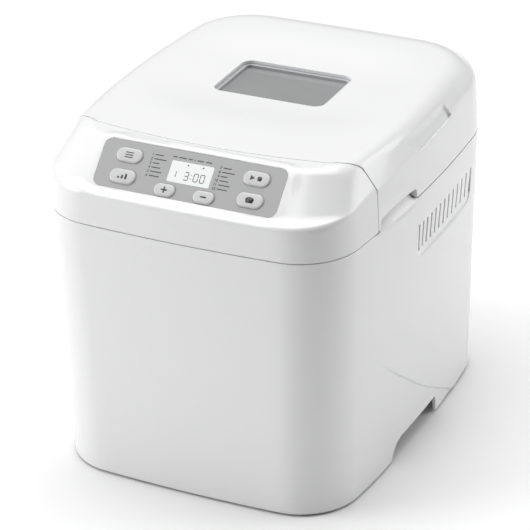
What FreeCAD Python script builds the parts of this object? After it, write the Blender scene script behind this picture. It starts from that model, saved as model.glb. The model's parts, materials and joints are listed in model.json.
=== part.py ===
import FreeCAD, Part
import math
import os

os.makedirs("parts", exist_ok=True)
V = FreeCAD.Vector

# A household bread machine, in millimetres. +Z is up, the front faces -Y, and the
# origin is on the floor under the middle of the machine.

# ---- driving dimensions: the casing ----
WIDTH = 240.0
DEPTH = 311.0
SEAM_Z = 200.0            # the line where the lid and the front cover meet the body
WALL = 2.6
FOOT_GAP = 2.0            # the rubber feet hold the casing this far off the floor
SEAM_GAP = 0.5            # half of the visible groove at the seam
LIP = 1.2                 # depth of the groove, in front of the locating lip
TOP_FRONT_Z = 252.3       # top surface where the panel's slope ends
TOP_REAR_Z = 256.5        # top surface at its rear crease
TOP_FRONT_Y = -121.5
TOP_REAR_Y = 119.0
HALF = WIDTH / 2
FRONT_Y = -DEPTH / 2
REAR_Y = DEPTH / 2

# ---- driving dimensions: the control panel ----
PANEL_Y = -133.1
PANEL_Z = 239.75
PANEL_TILT = 45.0
PANEL_W = 136.8
PANEL_H = 35.0
OVERLAY_T = 0.8
BUTTON_RISE = 1.2
BUTTON_GAP = 0.35
BOARD_DEPTH = 11.2
# name: centre across, centre up the slope, width, height
BUTTONS = {
    "button_menu": (-47.6, 7.2, 19.5, 10.4),
    "button_color": (-47.6, -8.4, 19.5, 10.4),
    "button_plus": (-14.6, -12.4, 15.6, 9.0),
    "button_minus": (14.6, -12.4, 15.6, 9.0),
    "button_start_stop": (47.6, 7.2, 19.5, 10.4),
    "button_loaf": (47.6, -8.4, 19.5, 10.4),
}
LCD_W = 31.6
LCD_H = 15.4
LCD_Y = 2.0

# ---- driving dimensions: the window in the lid ----
WINDOW_W = 86.0
WINDOW_H = 58.0
WINDOW_Y = 13.7
WINDOW_R = 8.0
WINDOW_SINK = 5.6         # the trim lies this far below the lid's top, under a collar

# ---- driving dimensions: chamber, pan and drive, all on one upright axis ----
AXIS_Y = 20.0
CHAMBER_W = 190.0
CHAMBER_D = 178.0
CHAMBER_R = 42.0
CHAMBER_Z = 50.0
SHEET = 1.2
DECK_Z = 196.5
DECK_T = 2.5
PAN_W = 146.0
PAN_D = 126.0
PAN_R = 30.0
PAN_Z = 70.0
PAN_TOP = 190.0
PAN_TAPER = 8.0
PAN_WALL = 1.5
HANDLE_Z = 184.0
HANDLE_REACH = 70.0
HANDLE_X = 79.5
HANDLE_WIRE = 2.5
SHAFT_R = 4.0
RUNNING = 0.03
CHASSIS_Z = 38.0
CHASSIS_T = 1.5
MOTOR_X = -42.0
MOTOR_Y = -104.0
MOTOR_SIZE = 62.0
MOTOR_POSTS = [(MOTOR_X + x, MOTOR_Y + y) for x in (-26.0, 26.0) for y in (-26.0, 26.0)]
BELT_Z = 25.5
BELT_W = 6.0
BIG_PULLEY_R = 42.0
SMALL_PULLEY_R = 7.0
BELT_CLEAR = 0.4
BELT_T = 1.4

# ---- driving dimensions: the lid's hinge ----
HINGE_Y = 142.0
HINGE_Z = 200.5
HINGE_R = 7.0
HINGE_CLEAR = 0.6
BARREL_HALF = 54.0
KNUCKLE_IN = 54.7
KNUCKLE_OUT = 66.0
PIN_R = 2.0
RECESS_HALF = 88.0        # half the width of the recess that the lid's rear edge swings into
RECESS_Z = 186.0
LID_POSTS = [(x, y) for x in (-100.0, 100.0) for y in (-66.0, 88.0)]
LINER_Z = 201.2
LINER_TOP = 231.0

# ---- driving dimensions: details of the casing ----
ARCH_FRONT = -52.0
ARCH_REAR = 32.0
ARCH_TOP = 15.5
GRIP_FRONT = -81.0
GRIP_REAR = -24.0
GRIP_TOP = 207.5
GRIP_DIP = 5.0
VENT_COUNT = 13
VENT_LOW = 157.0
VENT_HIGH = 176.5
SCREW_R = 1.5
BASE_LOW = 17.5
BASE_TOP = 20.0
BASE_BOSSES = [(x, y) for x in (-105.5, 105.5) for y in (-70.0, 50.0)]
FOOT_SPOTS = [(x, y) for x in (-86.0, 86.0) for y in (-108.0, 98.0)]
PANEL_POSTS = [(x, y) for x in (-63.4, 63.4) for y in (-12.0, 12.0)]
BOARD_POSTS = [(x, z) for x in (14.0, 76.0) for z in (64.0, 142.0)]
BOARD_Y = -134.4          # rear face of the power board
CORD_X = -58.0            # where the mains cord would leave
CORD_Z = 34.0
CORD_HOLE_R = 7.0

# ---- driving dimensions: what hangs in the chamber and under the pan ----
ELEMENT_Z = 68.0
ELEMENT_R = 3.3
ELEMENT_W = 85.0
ELEMENT_D = 79.0
ELEMENT_ENDS = (4.0, 34.0)
SENSOR_X = 46.0
SENSOR_Z = 112.0
STANDOFFS = [(x, y) for x in (-62.0, 62.0) for y in (-35.0, 70.0)]
CHASSIS_FEET = [(x, y) for x in (-89.0, 89.0) for y in (-97.0, 68.0)]
SOCKET_TOP = 60.0
LUG_SWEEP = 4.5
WING_Z = 61.6
WING_T = 4.6


# ---- plain shapes ----
def box(x0, x1, y0, y1, z0, z1):
    return Part.makeBox(x1 - x0, y1 - y0, z1 - z0, V(x0, y0, z0))


def upright(x, y, z0, z1, r):
    return Part.makeCylinder(r, z1 - z0, V(x, y, z0))


def across(x0, x1, y, z, r):
    return Part.makeCylinder(r, x1 - x0, V(x0, y, z), V(1, 0, 0))


def fore_aft(x, y0, y1, z, r):
    return Part.makeCylinder(r, y1 - y0, V(x, y0, z), V(0, 1, 0))


def ring(x, y, z0, z1, outer, inner):
    return upright(x, y, z0, z1, outer).cut(upright(x, y, z0 - 1, z1 + 1, inner))


def rounded_wire(x, y, z, width, height, radius):
    """A rounded rectangle at height z, centred on x, y."""
    w = width / 2
    h = height / 2
    k = radius * (1 - math.sqrt(0.5))
    edges = []
    for sx, sy in ((1, -1), (1, 1), (-1, 1), (-1, -1)):
        on_side = V(x + sx * w, y + sy * (h - radius), z)
        on_end = V(x + sx * (w - radius), y + sy * h, z)
        middle = V(x + sx * (w - k), y + sy * (h - k), z)
        first, last = (on_end, on_side) if sx * sy < 0 else (on_side, on_end)
        if edges:
            edges.append(Part.makeLine(edges[-1].Vertexes[-1].Point, first))
        edges.append(Part.Arc(first, middle, last).toShape())
    edges.append(Part.makeLine(edges[-1].Vertexes[-1].Point, edges[0].Vertexes[0].Point))
    return Part.Wire(edges)


def rounded_block(x, y, z0, z1, width, height, radius):
    face = Part.Face(rounded_wire(x, y, z0, width, height, radius))
    return face.extrude(V(0, 0, z1 - z0))


def rounded_ring(x, y, z0, z1, width, height, radius, band):
    inner = rounded_block(x, y, z0 - 1, z1 + 1, width - 2 * band, height - 2 * band, radius - band)
    return rounded_block(x, y, z0, z1, width, height, radius).cut(inner)


def tapered_block(y, z0, z1, low, high):
    """A loft between two rounded rectangles, each given as width, height, radius."""
    wires = [rounded_wire(0, y, z0, *low), rounded_wire(0, y, z1, *high)]
    return Part.makeLoft(wires, True, True)


def pipe(points, bend, radius):
    """A round tube along straight runs that are joined by arcs of one bend radius."""
    edges = []
    start = points[0]
    for before, corner, after in zip(points, points[1:], points[2:]):
        into = (corner - before).normalize()
        out = (after - corner).normalize()
        half_turn = into.getAngle(out) / 2
        setback = bend * math.tan(half_turn)
        first = corner - into * setback
        last = corner + out * setback
        inward = (out - into).normalize()
        middle = corner + inward * (bend / math.cos(half_turn) - bend)
        edges.append(Part.makeLine(start, first))
        edges.append(Part.Arc(first, middle, last).toShape())
        start = last
    edges.append(Part.makeLine(start, points[-1]))
    path = Part.Wire(edges)
    profile = Part.Wire(Part.makeCircle(radius, points[0], points[1] - points[0]))
    return path.makePipeShell([profile], True, True)


def fused(shapes):
    return shapes[0].fuse(shapes[1:]).removeSplitter()


def both_sides(shape):
    return [shape, shape.mirror(V(0, 0, 0), V(1, 0, 0))]


def save(name, shape):
    """Write one node; a node of several pieces is a compound of separate solids."""
    if not shape.isValid() or not shape.Solids:
        raise SystemExit(name + " is not a valid solid")
    if len(shape.Solids) > 1:
        shape = Part.makeCompound(shape.Solids)
    else:
        shape = shape.Solids[0]
    shape.exportStep("parts/" + name + ".step")
    print(name, len(shape.Solids), round(shape.Volume))


# ---- the casing's outline: four bowed sides and four round corners ----
class Outline:
    """One level of the casing. Its height may rise evenly from the front to the rear."""

    def __init__(self, half, front, rear, z_front, z_rear, r_front, r_rear,
                 bow_side=9.7, bow_front=4.7, bow_rear=3.5, flare=0.0):
        self.half, self.front, self.rear = half, front, rear
        self.z_front, self.z_rear = z_front, z_rear
        self.r_front, self.r_rear = r_front, r_rear
        self.bow_side, self.bow_front, self.bow_rear = bow_side, bow_front, bow_rear
        self.flare = flare

    def inset(self, wall, drop=0.0):
        """The outline of the cavity behind a wall, dropped below a top wall if there is one."""
        return Outline(self.half - wall, self.front + wall, self.rear - wall,
                       self.z_front - drop, self.z_rear - drop,
                       self.r_front - wall, self.r_rear - wall,
                       self.bow_side, self.bow_front, self.bow_rear, self.flare)

    def at(self, z):
        """The same outline, level, at height z."""
        return Outline(self.half, self.front, self.rear, z, z, self.r_front, self.r_rear,
                       self.bow_side, self.bow_front, self.bow_rear, self.flare)

    def lift(self, x, y):
        share = (y - self.front) / (self.rear - self.front)
        return V(x, y, self.z_front + share * (self.z_rear - self.z_front))

    def wire(self):
        front_y = self.front + self.bow_front
        rear_y = self.rear - self.bow_rear
        x_front = self.half - self.bow_side + self.flare
        x_rear = self.half - self.bow_side - self.flare
        inside = V(0, (front_y + rear_y) / 2, 0)
        side = bowed(V(x_front, front_y, 0), V(x_rear, rear_y, 0), self.bow_side, inside)
        front = bowed(V(-x_front, front_y, 0), V(x_front, front_y, 0), self.bow_front, inside)
        rear = bowed(V(-x_rear, rear_y, 0), V(x_rear, rear_y, 0), self.bow_rear, inside)
        near_front = V(x_front - self.r_front, front_y + self.r_front, 0)
        near_rear = V(x_rear - self.r_rear, rear_y - self.r_rear, 0)
        centre_f, on_front, on_side_f = corner(front, side, self.r_front, near_front)
        centre_r, on_side_r, on_rear = corner(side, rear, self.r_rear, near_rear)
        half_arcs = [
            (on_front, between(centre_f, on_front, on_side_f), on_side_f),
            (on_side_f, between(side[0], on_side_f, on_side_r), on_side_r),
            (on_side_r, between(centre_r, on_side_r, on_rear), on_rear),
        ]
        arcs = [(flip(on_front), V(0, self.front, 0), on_front)]
        arcs += half_arcs
        arcs.append((on_rear, V(0, self.rear, 0), flip(on_rear)))
        arcs += [tuple(flip(p) for p in reversed(arc)) for arc in reversed(half_arcs)]
        edges = []
        for arc in arcs:
            first, middle, last = [self.lift(p.x, p.y) for p in arc]
            edges.append(Part.Arc(first, middle, last).toShape())
        return Part.Wire(edges)


def flip(point):
    return V(-point.x, point.y, 0)


def bowed(p, q, bow, inside):
    """Centre and radius of the arc from p to q that stands out from inside by bow."""
    middle = (p + q) * 0.5
    chord = (q - p).Length / 2
    radius = (chord ** 2 + bow ** 2) / (2 * bow)
    along = (q - p).normalize()
    inward = V(-along.y, along.x, 0)
    if inward.dot(inside - middle) < 0:
        inward = inward * -1
    return middle + inward * (radius - bow), radius


def corner(one, other, radius, near):
    """Centre of the corner circle inside two bowed sides, and its touching points."""
    (c1, r1), (c2, r2) = one, other
    apart = (c2 - c1).Length
    a = r1 - radius
    b = r2 - radius
    along = (apart ** 2 + a ** 2 - b ** 2) / (2 * apart)
    off = math.sqrt(a ** 2 - along ** 2)
    u = (c2 - c1).normalize()
    v = V(-u.y, u.x, 0)
    choices = [c1 + u * along + v * off, c1 + u * along - v * off]
    centre = min(choices, key=lambda c: (c - near).Length)
    return centre, c1 + (centre - c1).normalize() * r1, c2 + (centre - c2).normalize() * r2


def between(centre, p, q):
    """The middle point of the short arc from p to q about centre."""
    radius = (p - centre).Length
    return centre + ((p - centre) + (q - centre)).normalize() * radius


def loft(outlines):
    return Part.makeLoft([o.wire() for o in outlines], True, True)


BOTTOM = Outline(115.8, FRONT_Y + 6.9, REAR_Y - 14.2, FOOT_GAP, FOOT_GAP, 45.0, 45.0)
SEAM = Outline(HALF, FRONT_Y, REAR_Y, SEAM_Z, SEAM_Z, 44.0, 71.0)
COVER_BELT = Outline(118.6, FRONT_Y, REAR_Y - 3, 225.0, 236.0, 44.0, 70.0)
COVER_LEDGE = Outline(116.8, FRONT_Y + 8.5, REAR_Y - 8, 227.3, 239.0, 42.0, 66.0)
LID_BELT = Outline(118.6, FRONT_Y, REAR_Y - 3, 227.3, 242.3, 44.0, 70.0)
CREASE = Outline(110.5, TOP_FRONT_Y, TOP_REAR_Y, TOP_FRONT_Z, TOP_REAR_Z, 46.0, 40.0,
                 bow_side=12.0, bow_front=2.7, bow_rear=2.4, flare=1.5)
BODY = [BOTTOM, SEAM]
BODY_INSIDE = [BOTTOM.inset(WALL).at(FOOT_GAP - 1), SEAM.inset(WALL).at(SEAM_Z + 1)]
TOP_SLOPE = (TOP_REAR_Z - TOP_FRONT_Z) / (TOP_REAR_Y - TOP_FRONT_Y)


def inside_body(z0, z1, clear):
    """A slab that fills the body's inside between two heights, clear of its walls."""
    room = loft([BOTTOM.inset(WALL + clear).at(FOOT_GAP - 1),
                 SEAM.inset(WALL + clear).at(SEAM_Z + 1)])
    return room.common(box(-200, 200, -200, 200, z0, z1))


# ---- the line where the lid meets the front cover, seen from above ----
def split_region(shift, to_y):
    """All that lies between the lid's front edge, moved back by shift, and to_y."""
    side = V(116, -84.5 + shift, 190)
    bend = V(103.5, -92.5 + shift, 190)
    shoulder = V(88, -100.5 + shift, 190)
    nose = V(0, -108.5 + shift, 190)
    edges = [
        Part.makeLine(V(-140, side.y, 190), V(-side.x, side.y, 190)),
        Part.Arc(V(-side.x, side.y, 190), V(-bend.x, bend.y, 190),
                 V(-shoulder.x, shoulder.y, 190)).toShape(),
        Part.Arc(V(-shoulder.x, shoulder.y, 190), nose, shoulder).toShape(),
        Part.Arc(shoulder, bend, side).toShape(),
        Part.makeLine(side, V(140, side.y, 190)),
        Part.makeLine(V(140, side.y, 190), V(140, to_y, 190)),
        Part.makeLine(V(140, to_y, 190), V(-140, to_y, 190)),
        Part.makeLine(V(-140, to_y, 190), V(-140, side.y, 190)),
    ]
    return Part.Face(Part.Wire(edges)).extrude(V(0, 0, 90))


# ---- frames of reference on the sloping faces ----
def on_panel(shape):
    """Move a shape drawn on the control panel (x across, y up the slope, z outwards)."""
    placed = shape.copy()
    placed.rotate(V(0, 0, 0), V(1, 0, 0), PANEL_TILT)
    placed.translate(V(0, PANEL_Y, PANEL_Z))
    return placed


def on_top(shape):
    """Move a shape drawn on the lid's top, centred on the window."""
    placed = shape.copy()
    placed.rotate(V(0, 0, 0), V(1, 0, 0), math.degrees(math.atan(TOP_SLOPE)))
    placed.translate(V(0, WINDOW_Y, TOP_FRONT_Z + TOP_SLOPE * (WINDOW_Y - TOP_FRONT_Y)))
    return placed


# ---- casing pieces ----
def side_arch():
    """The low arch cut through both side walls between the front and rear feet."""
    points = [V(-200, ARCH_FRONT, 0), V(-200, ARCH_FRONT + 9, ARCH_TOP - 2),
              V(-200, ARCH_FRONT + 14, ARCH_TOP), V(-200, ARCH_REAR - 5, ARCH_TOP),
              V(-200, ARCH_REAR, 0), V(-200, ARCH_FRONT, 0)]
    return Part.Face(Part.makePolygon(points)).extrude(V(400, 0, 0))


def grip_dip():
    """The shallow curve in the body's top edge, under the lid's finger grip."""
    chord = (GRIP_REAR - GRIP_FRONT + 6) / 2
    radius = (chord ** 2 + GRIP_DIP ** 2) / (2 * GRIP_DIP)
    middle = (GRIP_FRONT + GRIP_REAR) / 2
    return across(-200, 200, middle, SEAM_Z - SEAM_GAP - GRIP_DIP + radius, radius)


def vent_slots():
    slots = []
    for i in range(VENT_COUNT):
        y = -18.0 + 7.0 * i + 0.14 * i ** 2
        slots.append(box(-130, 130, y - 1.1, y + 1.1, VENT_LOW, VENT_HIGH))
    return slots


def hinge_recess():
    return box(-RECESS_HALF, RECESS_HALF, 130, 170, RECESS_Z, 215)


def body_shell():
    shell = loft(BODY).cut(loft(BODY_INSIDE))
    groove = loft([SEAM.inset(-3).at(SEAM_Z - SEAM_GAP), SEAM.inset(-3).at(SEAM_Z + 5)])
    groove = groove.cut(loft([SEAM.inset(LIP).at(SEAM_Z - 2), SEAM.inset(LIP).at(SEAM_Z + 6)]))
    shell = shell.cut(groove)
    bosses = []
    for x, y in BASE_BOSSES:
        bosses.append(upright(x, y, BASE_TOP, 44.0, 7.0))
    for x, z in BOARD_POSTS:
        bosses.append(fore_aft(x, -152.0, -136.0, z, 3.0))
    bosses = [b.common(loft(BODY)) for b in bosses]
    shell = fused([shell] + bosses)
    holes = [upright(x, y, 19.0, 36.0, SCREW_R) for x, y in BASE_BOSSES]
    holes += [fore_aft(x, -144.0, -135.0, z, 1.2) for x, z in BOARD_POSTS]
    holes.append(fore_aft(CORD_X, 130, 160, CORD_Z, CORD_HOLE_R))
    side = box(100, 200, GRIP_FRONT - 3, GRIP_REAR + 3, SEAM_Z - GRIP_DIP - 1, SEAM_Z + 5)
    dips = [grip_dip().common(s) for s in both_sides(side)]
    return shell.cut(holes + vent_slots() + dips + [side_arch(), hinge_recess()])


def base_plate():
    plate = inside_body(BASE_LOW, BASE_TOP, 0.4)
    posts = [upright(x, y, 3.0, 18.0, 11.0) for x, y in FOOT_SPOTS]
    plate = fused([plate] + posts)
    cuts = [upright(x, y, 2.0, 14.0, 4.1) for x, y in FOOT_SPOTS]
    cuts += [upright(x, y, 15, 22, SCREW_R + 0.3) for x, y in BASE_BOSSES]
    for i in range(9):
        y = -60.0 + 9.0 * i
        cuts.append(box(-34, 34, y - 1.5, y + 1.5, 15, 22))
    return plate.cut(cuts)


def rubber_feet():
    feet = []
    for x, y in FOOT_SPOTS:
        pad = upright(x, y, 0.0, 3.0, 10.0)
        feet.append(fused([pad, upright(x, y, 2.0, 12.0, 4.0)]))
    return Part.makeCompound(feet)


def base_screws():
    screws = []
    for x, y in BASE_BOSSES:
        head = upright(x, y, BASE_LOW - 2.2, BASE_LOW, 3.4)
        screws.append(fused([head, upright(x, y, 17.0, 33.0, SCREW_R - 0.05)]))
    return Part.makeCompound(screws)


def pill(x, y, z0, z1, width, height):
    return rounded_block(x, y, z0, z1, width, height, height / 2 - 0.01)


def top_cover():
    outer = loft([SEAM.at(SEAM_Z + 0.1), COVER_BELT, COVER_LEDGE, CREASE])
    cover = outer.common(split_region(-0.4, -200))
    hollow = loft([SEAM.inset(WALL).at(SEAM_Z - 1), COVER_BELT.inset(WALL, 1.2),
                   COVER_LEDGE.inset(WALL, 2.2), CREASE.inset(WALL, WALL)])
    cover = cover.cut(hollow.common(split_region(-0.4 - WALL, -200)))
    bed = rounded_block(0, 0, -OVERLAY_T - 0.05, 9, PANEL_W + 0.6, PANEL_H + 0.6, 6.3)
    backing = rounded_block(0, 0, -OVERLAY_T - 2.5, -OVERLAY_T - 0.05, PANEL_W + 5, PANEL_H + 4, 6)
    posts = [upright(x, y, -BOARD_DEPTH, -2, 2.6) for x, y in PANEL_POSTS]
    solid = outer.common(split_region(-0.4, -200))
    backing = on_panel(backing).common(solid)
    cover = fused([cover, backing] + [on_panel(p) for p in posts])
    cuts = [on_panel(bed)]
    cuts.append(on_panel(rounded_block(0, LCD_Y, -9, 1, LCD_W - 0.8, LCD_H - 0.8, 1.0)))
    for x, y, w, h in BUTTONS.values():
        cuts.append(on_panel(pill(x, y, -9, 1, w + 2 * BUTTON_GAP, h + 2 * BUTTON_GAP)))
    cuts += [on_panel(upright(x, y, -BOARD_DEPTH - 1, -5, 1.15)) for x, y in PANEL_POSTS]
    return cover.cut(cuts)


def deck_frame():
    """The ledge round the chamber's mouth, with the hinge's saddle and knuckles behind."""
    deck = inside_body(DECK_Z, DECK_Z + DECK_T, 0.4).common(box(-200, 200, -104, 200, 0, 300))
    block = inside_body(RECESS_Z - 6, DECK_Z + 1, 0.4)
    block = block.common(box(-RECESS_HALF + 1, RECESS_HALF - 1, 126, 170, 0, 300))
    deck = fused([deck, block])
    swing = box(-RECESS_HALF, RECESS_HALF, HINGE_Y - 0.5, 200, RECESS_Z + 0.3, 215)
    mouth = rounded_block(0, AXIS_Y, DECK_Z - 1, DECK_Z + 5, CHAMBER_W - 2 * SHEET,
                          CHAMBER_D - 2 * SHEET, CHAMBER_R - SHEET)
    groove = across(-KNUCKLE_IN, KNUCKLE_IN, HINGE_Y, HINGE_Z, HINGE_R + HINGE_CLEAR)
    deck = deck.cut([mouth, groove, swing])
    knuckle = across(KNUCKLE_IN, KNUCKLE_OUT, HINGE_Y, HINGE_Z, HINGE_R)
    foot = box(KNUCKLE_IN, KNUCKLE_OUT, HINGE_Y - HINGE_R, HINGE_Y + 1, RECESS_Z - 3, HINGE_Z)
    deck = fused([deck] + both_sides(fused([knuckle, foot])))
    return deck.cut(across(-90, 90, HINGE_Y, HINGE_Z, PIN_R))


def lid_shell():
    outer = loft([SEAM.at(SEAM_Z + SEAM_GAP), LID_BELT, CREASE])
    lid = outer.common(split_region(0.4, 200))
    hollow = loft([SEAM.inset(WALL).at(SEAM_Z - 1), LID_BELT.inset(WALL, 1.2),
                   CREASE.inset(WALL, WALL)])
    lid = lid.cut(hollow.common(split_region(0.4 + WALL, 200)))
    web = box(-BARREL_HALF, BARREL_HALF, HINGE_Y - 5, HINGE_Y + 10.2, HINGE_Z, HINGE_Z + 9)
    barrel = across(-BARREL_HALF, BARREL_HALF, HINGE_Y, HINGE_Z, HINGE_R)
    posts = [upright(x, y, 202.4, 262.0, 3.5).common(outer) for x, y in LID_POSTS]
    collar = on_top(rounded_block(0, 0, -WINDOW_SINK, -1, WINDOW_W + 12, WINDOW_H + 12, 12))
    lid = fused([lid, web, barrel, collar] + posts)
    cuts = [on_top(rounded_block(0, 0, -8, 5, WINDOW_W, WINDOW_H, WINDOW_R))]
    cuts += both_sides(across(KNUCKLE_IN - 0.5, KNUCKLE_OUT + 1.5, HINGE_Y, HINGE_Z,
                              HINGE_R + HINGE_CLEAR))
    cuts += both_sides(across(BARREL_HALF - 14, BARREL_HALF + 1, HINGE_Y, HINGE_Z, PIN_R + RUNNING))
    cuts += [upright(x, y, 200, 226, 1.2) for x, y in LID_POSTS]
    cuts += both_sides(box(100, 200, GRIP_FRONT, GRIP_REAR, 190, GRIP_TOP))
    cuts += both_sides(vent_scoop())
    return lid.cut(cuts)


def vent_scoop():
    """The shallow scoop in the lid's side bevel, above the belt line."""
    scoop = box(-2.0, 6.0, -33.0, 33.0, -40.0, 0.0)
    scoop.rotate(V(0, 0, 0), V(0, 1, 0), -24.0)
    scoop.translate(V(111.5, 6.0, 252.0))
    return scoop.common(box(0, 200, -200, 200, 233.5, 249.5))


def window_stack(low, high):
    """Two heights below the window's collar, in the frame of the lid's top."""
    return -WINDOW_SINK - low, -WINDOW_SINK - high


def window_frame():
    low, high = window_stack(2.0, 0.05)
    return on_top(rounded_ring(0, 0, low, high, WINDOW_W + 12, WINDOW_H + 12, 12, 9.0))


def window_glass():
    low, high = window_stack(5.1, 2.05)
    return on_top(rounded_block(0, 0, low, high, WINDOW_W + 4, WINDOW_H + 4, 9))


def window_retainer():
    low, high = window_stack(7.1, 5.15)
    return on_top(rounded_ring(0, 0, low, high, WINDOW_W + 10, WINDOW_H + 10, 12, 9.0))


def lid_liner():
    """A pressed dish that closes the lid from below and leaves room over the pan."""
    room = loft([SEAM.inset(WALL + 0.5).at(SEAM_Z - 1), LID_BELT.inset(WALL + 0.5, 1.2)])
    flange = room.common(split_region(0.4 + WALL + 0.5, 200))
    flange = flange.common(box(-200, 200, -200, HINGE_Y - 9, LINER_Z, LINER_Z + SHEET))
    dome = rounded_block(0, AXIS_Y, LINER_Z, LINER_TOP, 186, 174, 40)
    hollow = rounded_block(0, AXIS_Y, LINER_Z - 1, LINER_TOP - SHEET, 186 - 2 * SHEET,
                           174 - 2 * SHEET, 40 - SHEET)
    liner = fused([flange, dome]).cut(hollow)
    cuts = [upright(x, y, 199, 204, 1.6) for x, y in LID_POSTS]
    cuts.append(rounded_block(0, WINDOW_Y, LINER_TOP - 4, LINER_TOP + 1, WINDOW_W - 2, WINDOW_H - 2, 8))
    cuts += both_sides(box(103, 200, GRIP_FRONT - 2, GRIP_REAR + 2, 190, 215))
    return liner.cut(cuts)


def inner_glass():
    return rounded_block(0, WINDOW_Y, LINER_TOP, LINER_TOP + 3, WINDOW_W + 10, WINDOW_H + 10, 10)


def lid_seal():
    return rounded_ring(0, AXIS_Y, DECK_Z + DECK_T + 0.4, LINER_Z, CHAMBER_W + 8, CHAMBER_D + 8,
                        CHAMBER_R + 4, 4.0)


def lid_screws():
    screws = []
    for x, y in LID_POSTS:
        head = upright(x, y, 199.6, LINER_Z, 2.8)
        screws.append(fused([head, upright(x, y, 200, 224, 1.15)]))
    return Part.makeCompound(screws)


def hinge_pins():
    pin = across(BARREL_HALF - 13, KNUCKLE_OUT - 0.3, HINGE_Y, HINGE_Z, PIN_R)
    return Part.makeCompound(both_sides(pin))


# ---- the control panel ----
def control_overlay():
    sheet = rounded_block(0, 0, -OVERLAY_T, 0, PANEL_W, PANEL_H, 6)
    cuts = [rounded_block(0, LCD_Y, -2, 1, LCD_W + 0.2, LCD_H + 0.2, 1.3)]
    for x, y, w, h in BUTTONS.values():
        cuts.append(pill(x, y, -2, 1, w + 2 * BUTTON_GAP, h + 2 * BUTTON_GAP))
    return on_panel(sheet.cut(cuts))


def lcd_lens():
    return on_panel(rounded_block(0, LCD_Y, -OVERLAY_T, 0, LCD_W, LCD_H, 1.2))


def lcd_module():
    face = box(-18, 18, LCD_Y - 8.3, LCD_Y + 9.5, -7.6, -3.4)
    legs = [box(x, x + 2, LCD_Y - 8, LCD_Y + 8, -BOARD_DEPTH, -7.6) for x in (-17, 15)]
    return on_panel(fused([face] + legs))


def button(x, y, width, height):
    """A pill-shaped key cap with a retaining rim and a short post behind it."""
    cap = pill(x, y, -4.0, BUTTON_RISE, width, height)
    rim = pill(x, y, -5.2, -3.65, width + 2.2, height + 2.2)
    return on_panel(fused([cap, rim, upright(x, y, -5.6, -5.0, 2.0)]))


def control_board():
    board = box(-66.5, 66.5, -16, 16, -BOARD_DEPTH - 1.6, -BOARD_DEPTH)
    holes = [upright(x, y, -20, 0, 1.4) for x, y in PANEL_POSTS]
    return on_panel(board.cut(holes))


def tact_switches():
    switches = []
    for x, y, w, h in BUTTONS.values():
        case = box(x - 3, x + 3, y - 3, y + 3, -BOARD_DEPTH, -BOARD_DEPTH + 3.3)
        switches.append(fused([case, upright(x, y, -8, -7.2, 1.7)]))
    return on_panel(Part.makeCompound(switches))


def board_screws():
    low = -BOARD_DEPTH - 1.6
    screws = []
    for x, y in PANEL_POSTS:
        head = upright(x, y, low - 1.6, low, 2.4)
        screws.append(on_panel(fused([head, upright(x, y, low - 1, -6, 1.1)])))
    for x, z in BOARD_POSTS:
        head = fore_aft(x, BOARD_Y, BOARD_Y + 1.6, z, 2.6)
        screws.append(fused([head, fore_aft(x, -143, -134, z, 1.15)]))
    return Part.makeCompound(screws)


# ---- the power electronics behind the front wall ----
def power_board():
    board = box(6, 84, BOARD_Y - 1.6, BOARD_Y, 58, 148)
    return board.cut([fore_aft(x, -140, -130, z, 1.4) for x, z in BOARD_POSTS])


def transformer():
    core = box(22, 62, -133.0, -103.0, 66, 98)
    bobbin = rounded_block(42, -118, 62.0, 102.0, 24, 30, 4)
    bobbin = bobbin.common(box(0, 90, BOARD_Y, -100, 60, 104))
    feet = box(26, 58, BOARD_Y, -132.0, 70, 94)
    return fused([core, bobbin, feet])


def capacitor():
    return fore_aft(60, BOARD_Y, -112, 120, 10.0)


# ---- the baking chamber ----
def oven_chamber():
    w, d, r = CHAMBER_W, CHAMBER_D, CHAMBER_R
    outer = rounded_block(0, AXIS_Y, CHAMBER_Z, DECK_Z, w, d, r)
    flange = rounded_block(0, AXIS_Y, DECK_Z - SHEET, DECK_Z, w + 16, d + 16, r + 8)
    inner = rounded_block(0, AXIS_Y, CHAMBER_Z + SHEET, DECK_Z + 1, w - 2 * SHEET, d - 2 * SHEET,
                          r - SHEET)
    cuts = [inner, upright(0, AXIS_Y, 40, 60, 15.0)]
    front = AXIS_Y - d / 2
    cuts += [fore_aft(x, front - 3, front + 4, ELEMENT_Z, 4.6) for x in ELEMENT_ENDS]
    cuts.append(fore_aft(SENSOR_X, front - 3, front + 4, SENSOR_Z, 3.1))
    cuts += [upright(x, y, 40, 60, 2.2) for x, y in STANDOFFS]
    return fused([outer, flange]).cut(cuts)


def chamber_standoffs():
    posts = []
    for x, y in STANDOFFS:
        post = ring(x, y, CHASSIS_Z + CHASSIS_T, CHAMBER_Z, 5.0, 2.2)
        posts.append(post)
    return Part.makeCompound(posts)


def chamber_screws():
    screws = []
    for x, y in STANDOFFS:
        top = CHAMBER_Z + SHEET
        head = upright(x, y, top, top + 2.4, 4.0)
        screws.append(fused([head, upright(x, y, CHASSIS_Z - 4, top + 1, 2.1)]))
    return Part.makeCompound(screws)


def heat_shield():
    shield = box(-96, 96, -73.0, -72.0, 40.0, 190.0)
    foot = box(-70, 70, -72.0, -66.0, CHASSIS_Z + CHASSIS_T, CHASSIS_Z + CHASSIS_T + 1)
    side = both_sides(box(95, 96, -72.0, -20.0, 60.0, 190.0))
    cuts = [fore_aft(x, -80, -60, ELEMENT_Z, 6.0) for x in ELEMENT_ENDS]
    cuts.append(fore_aft(SENSOR_X, -80, -60, SENSOR_Z, 8.0))
    return fused([shield, foot] + side).cut(cuts)


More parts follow.
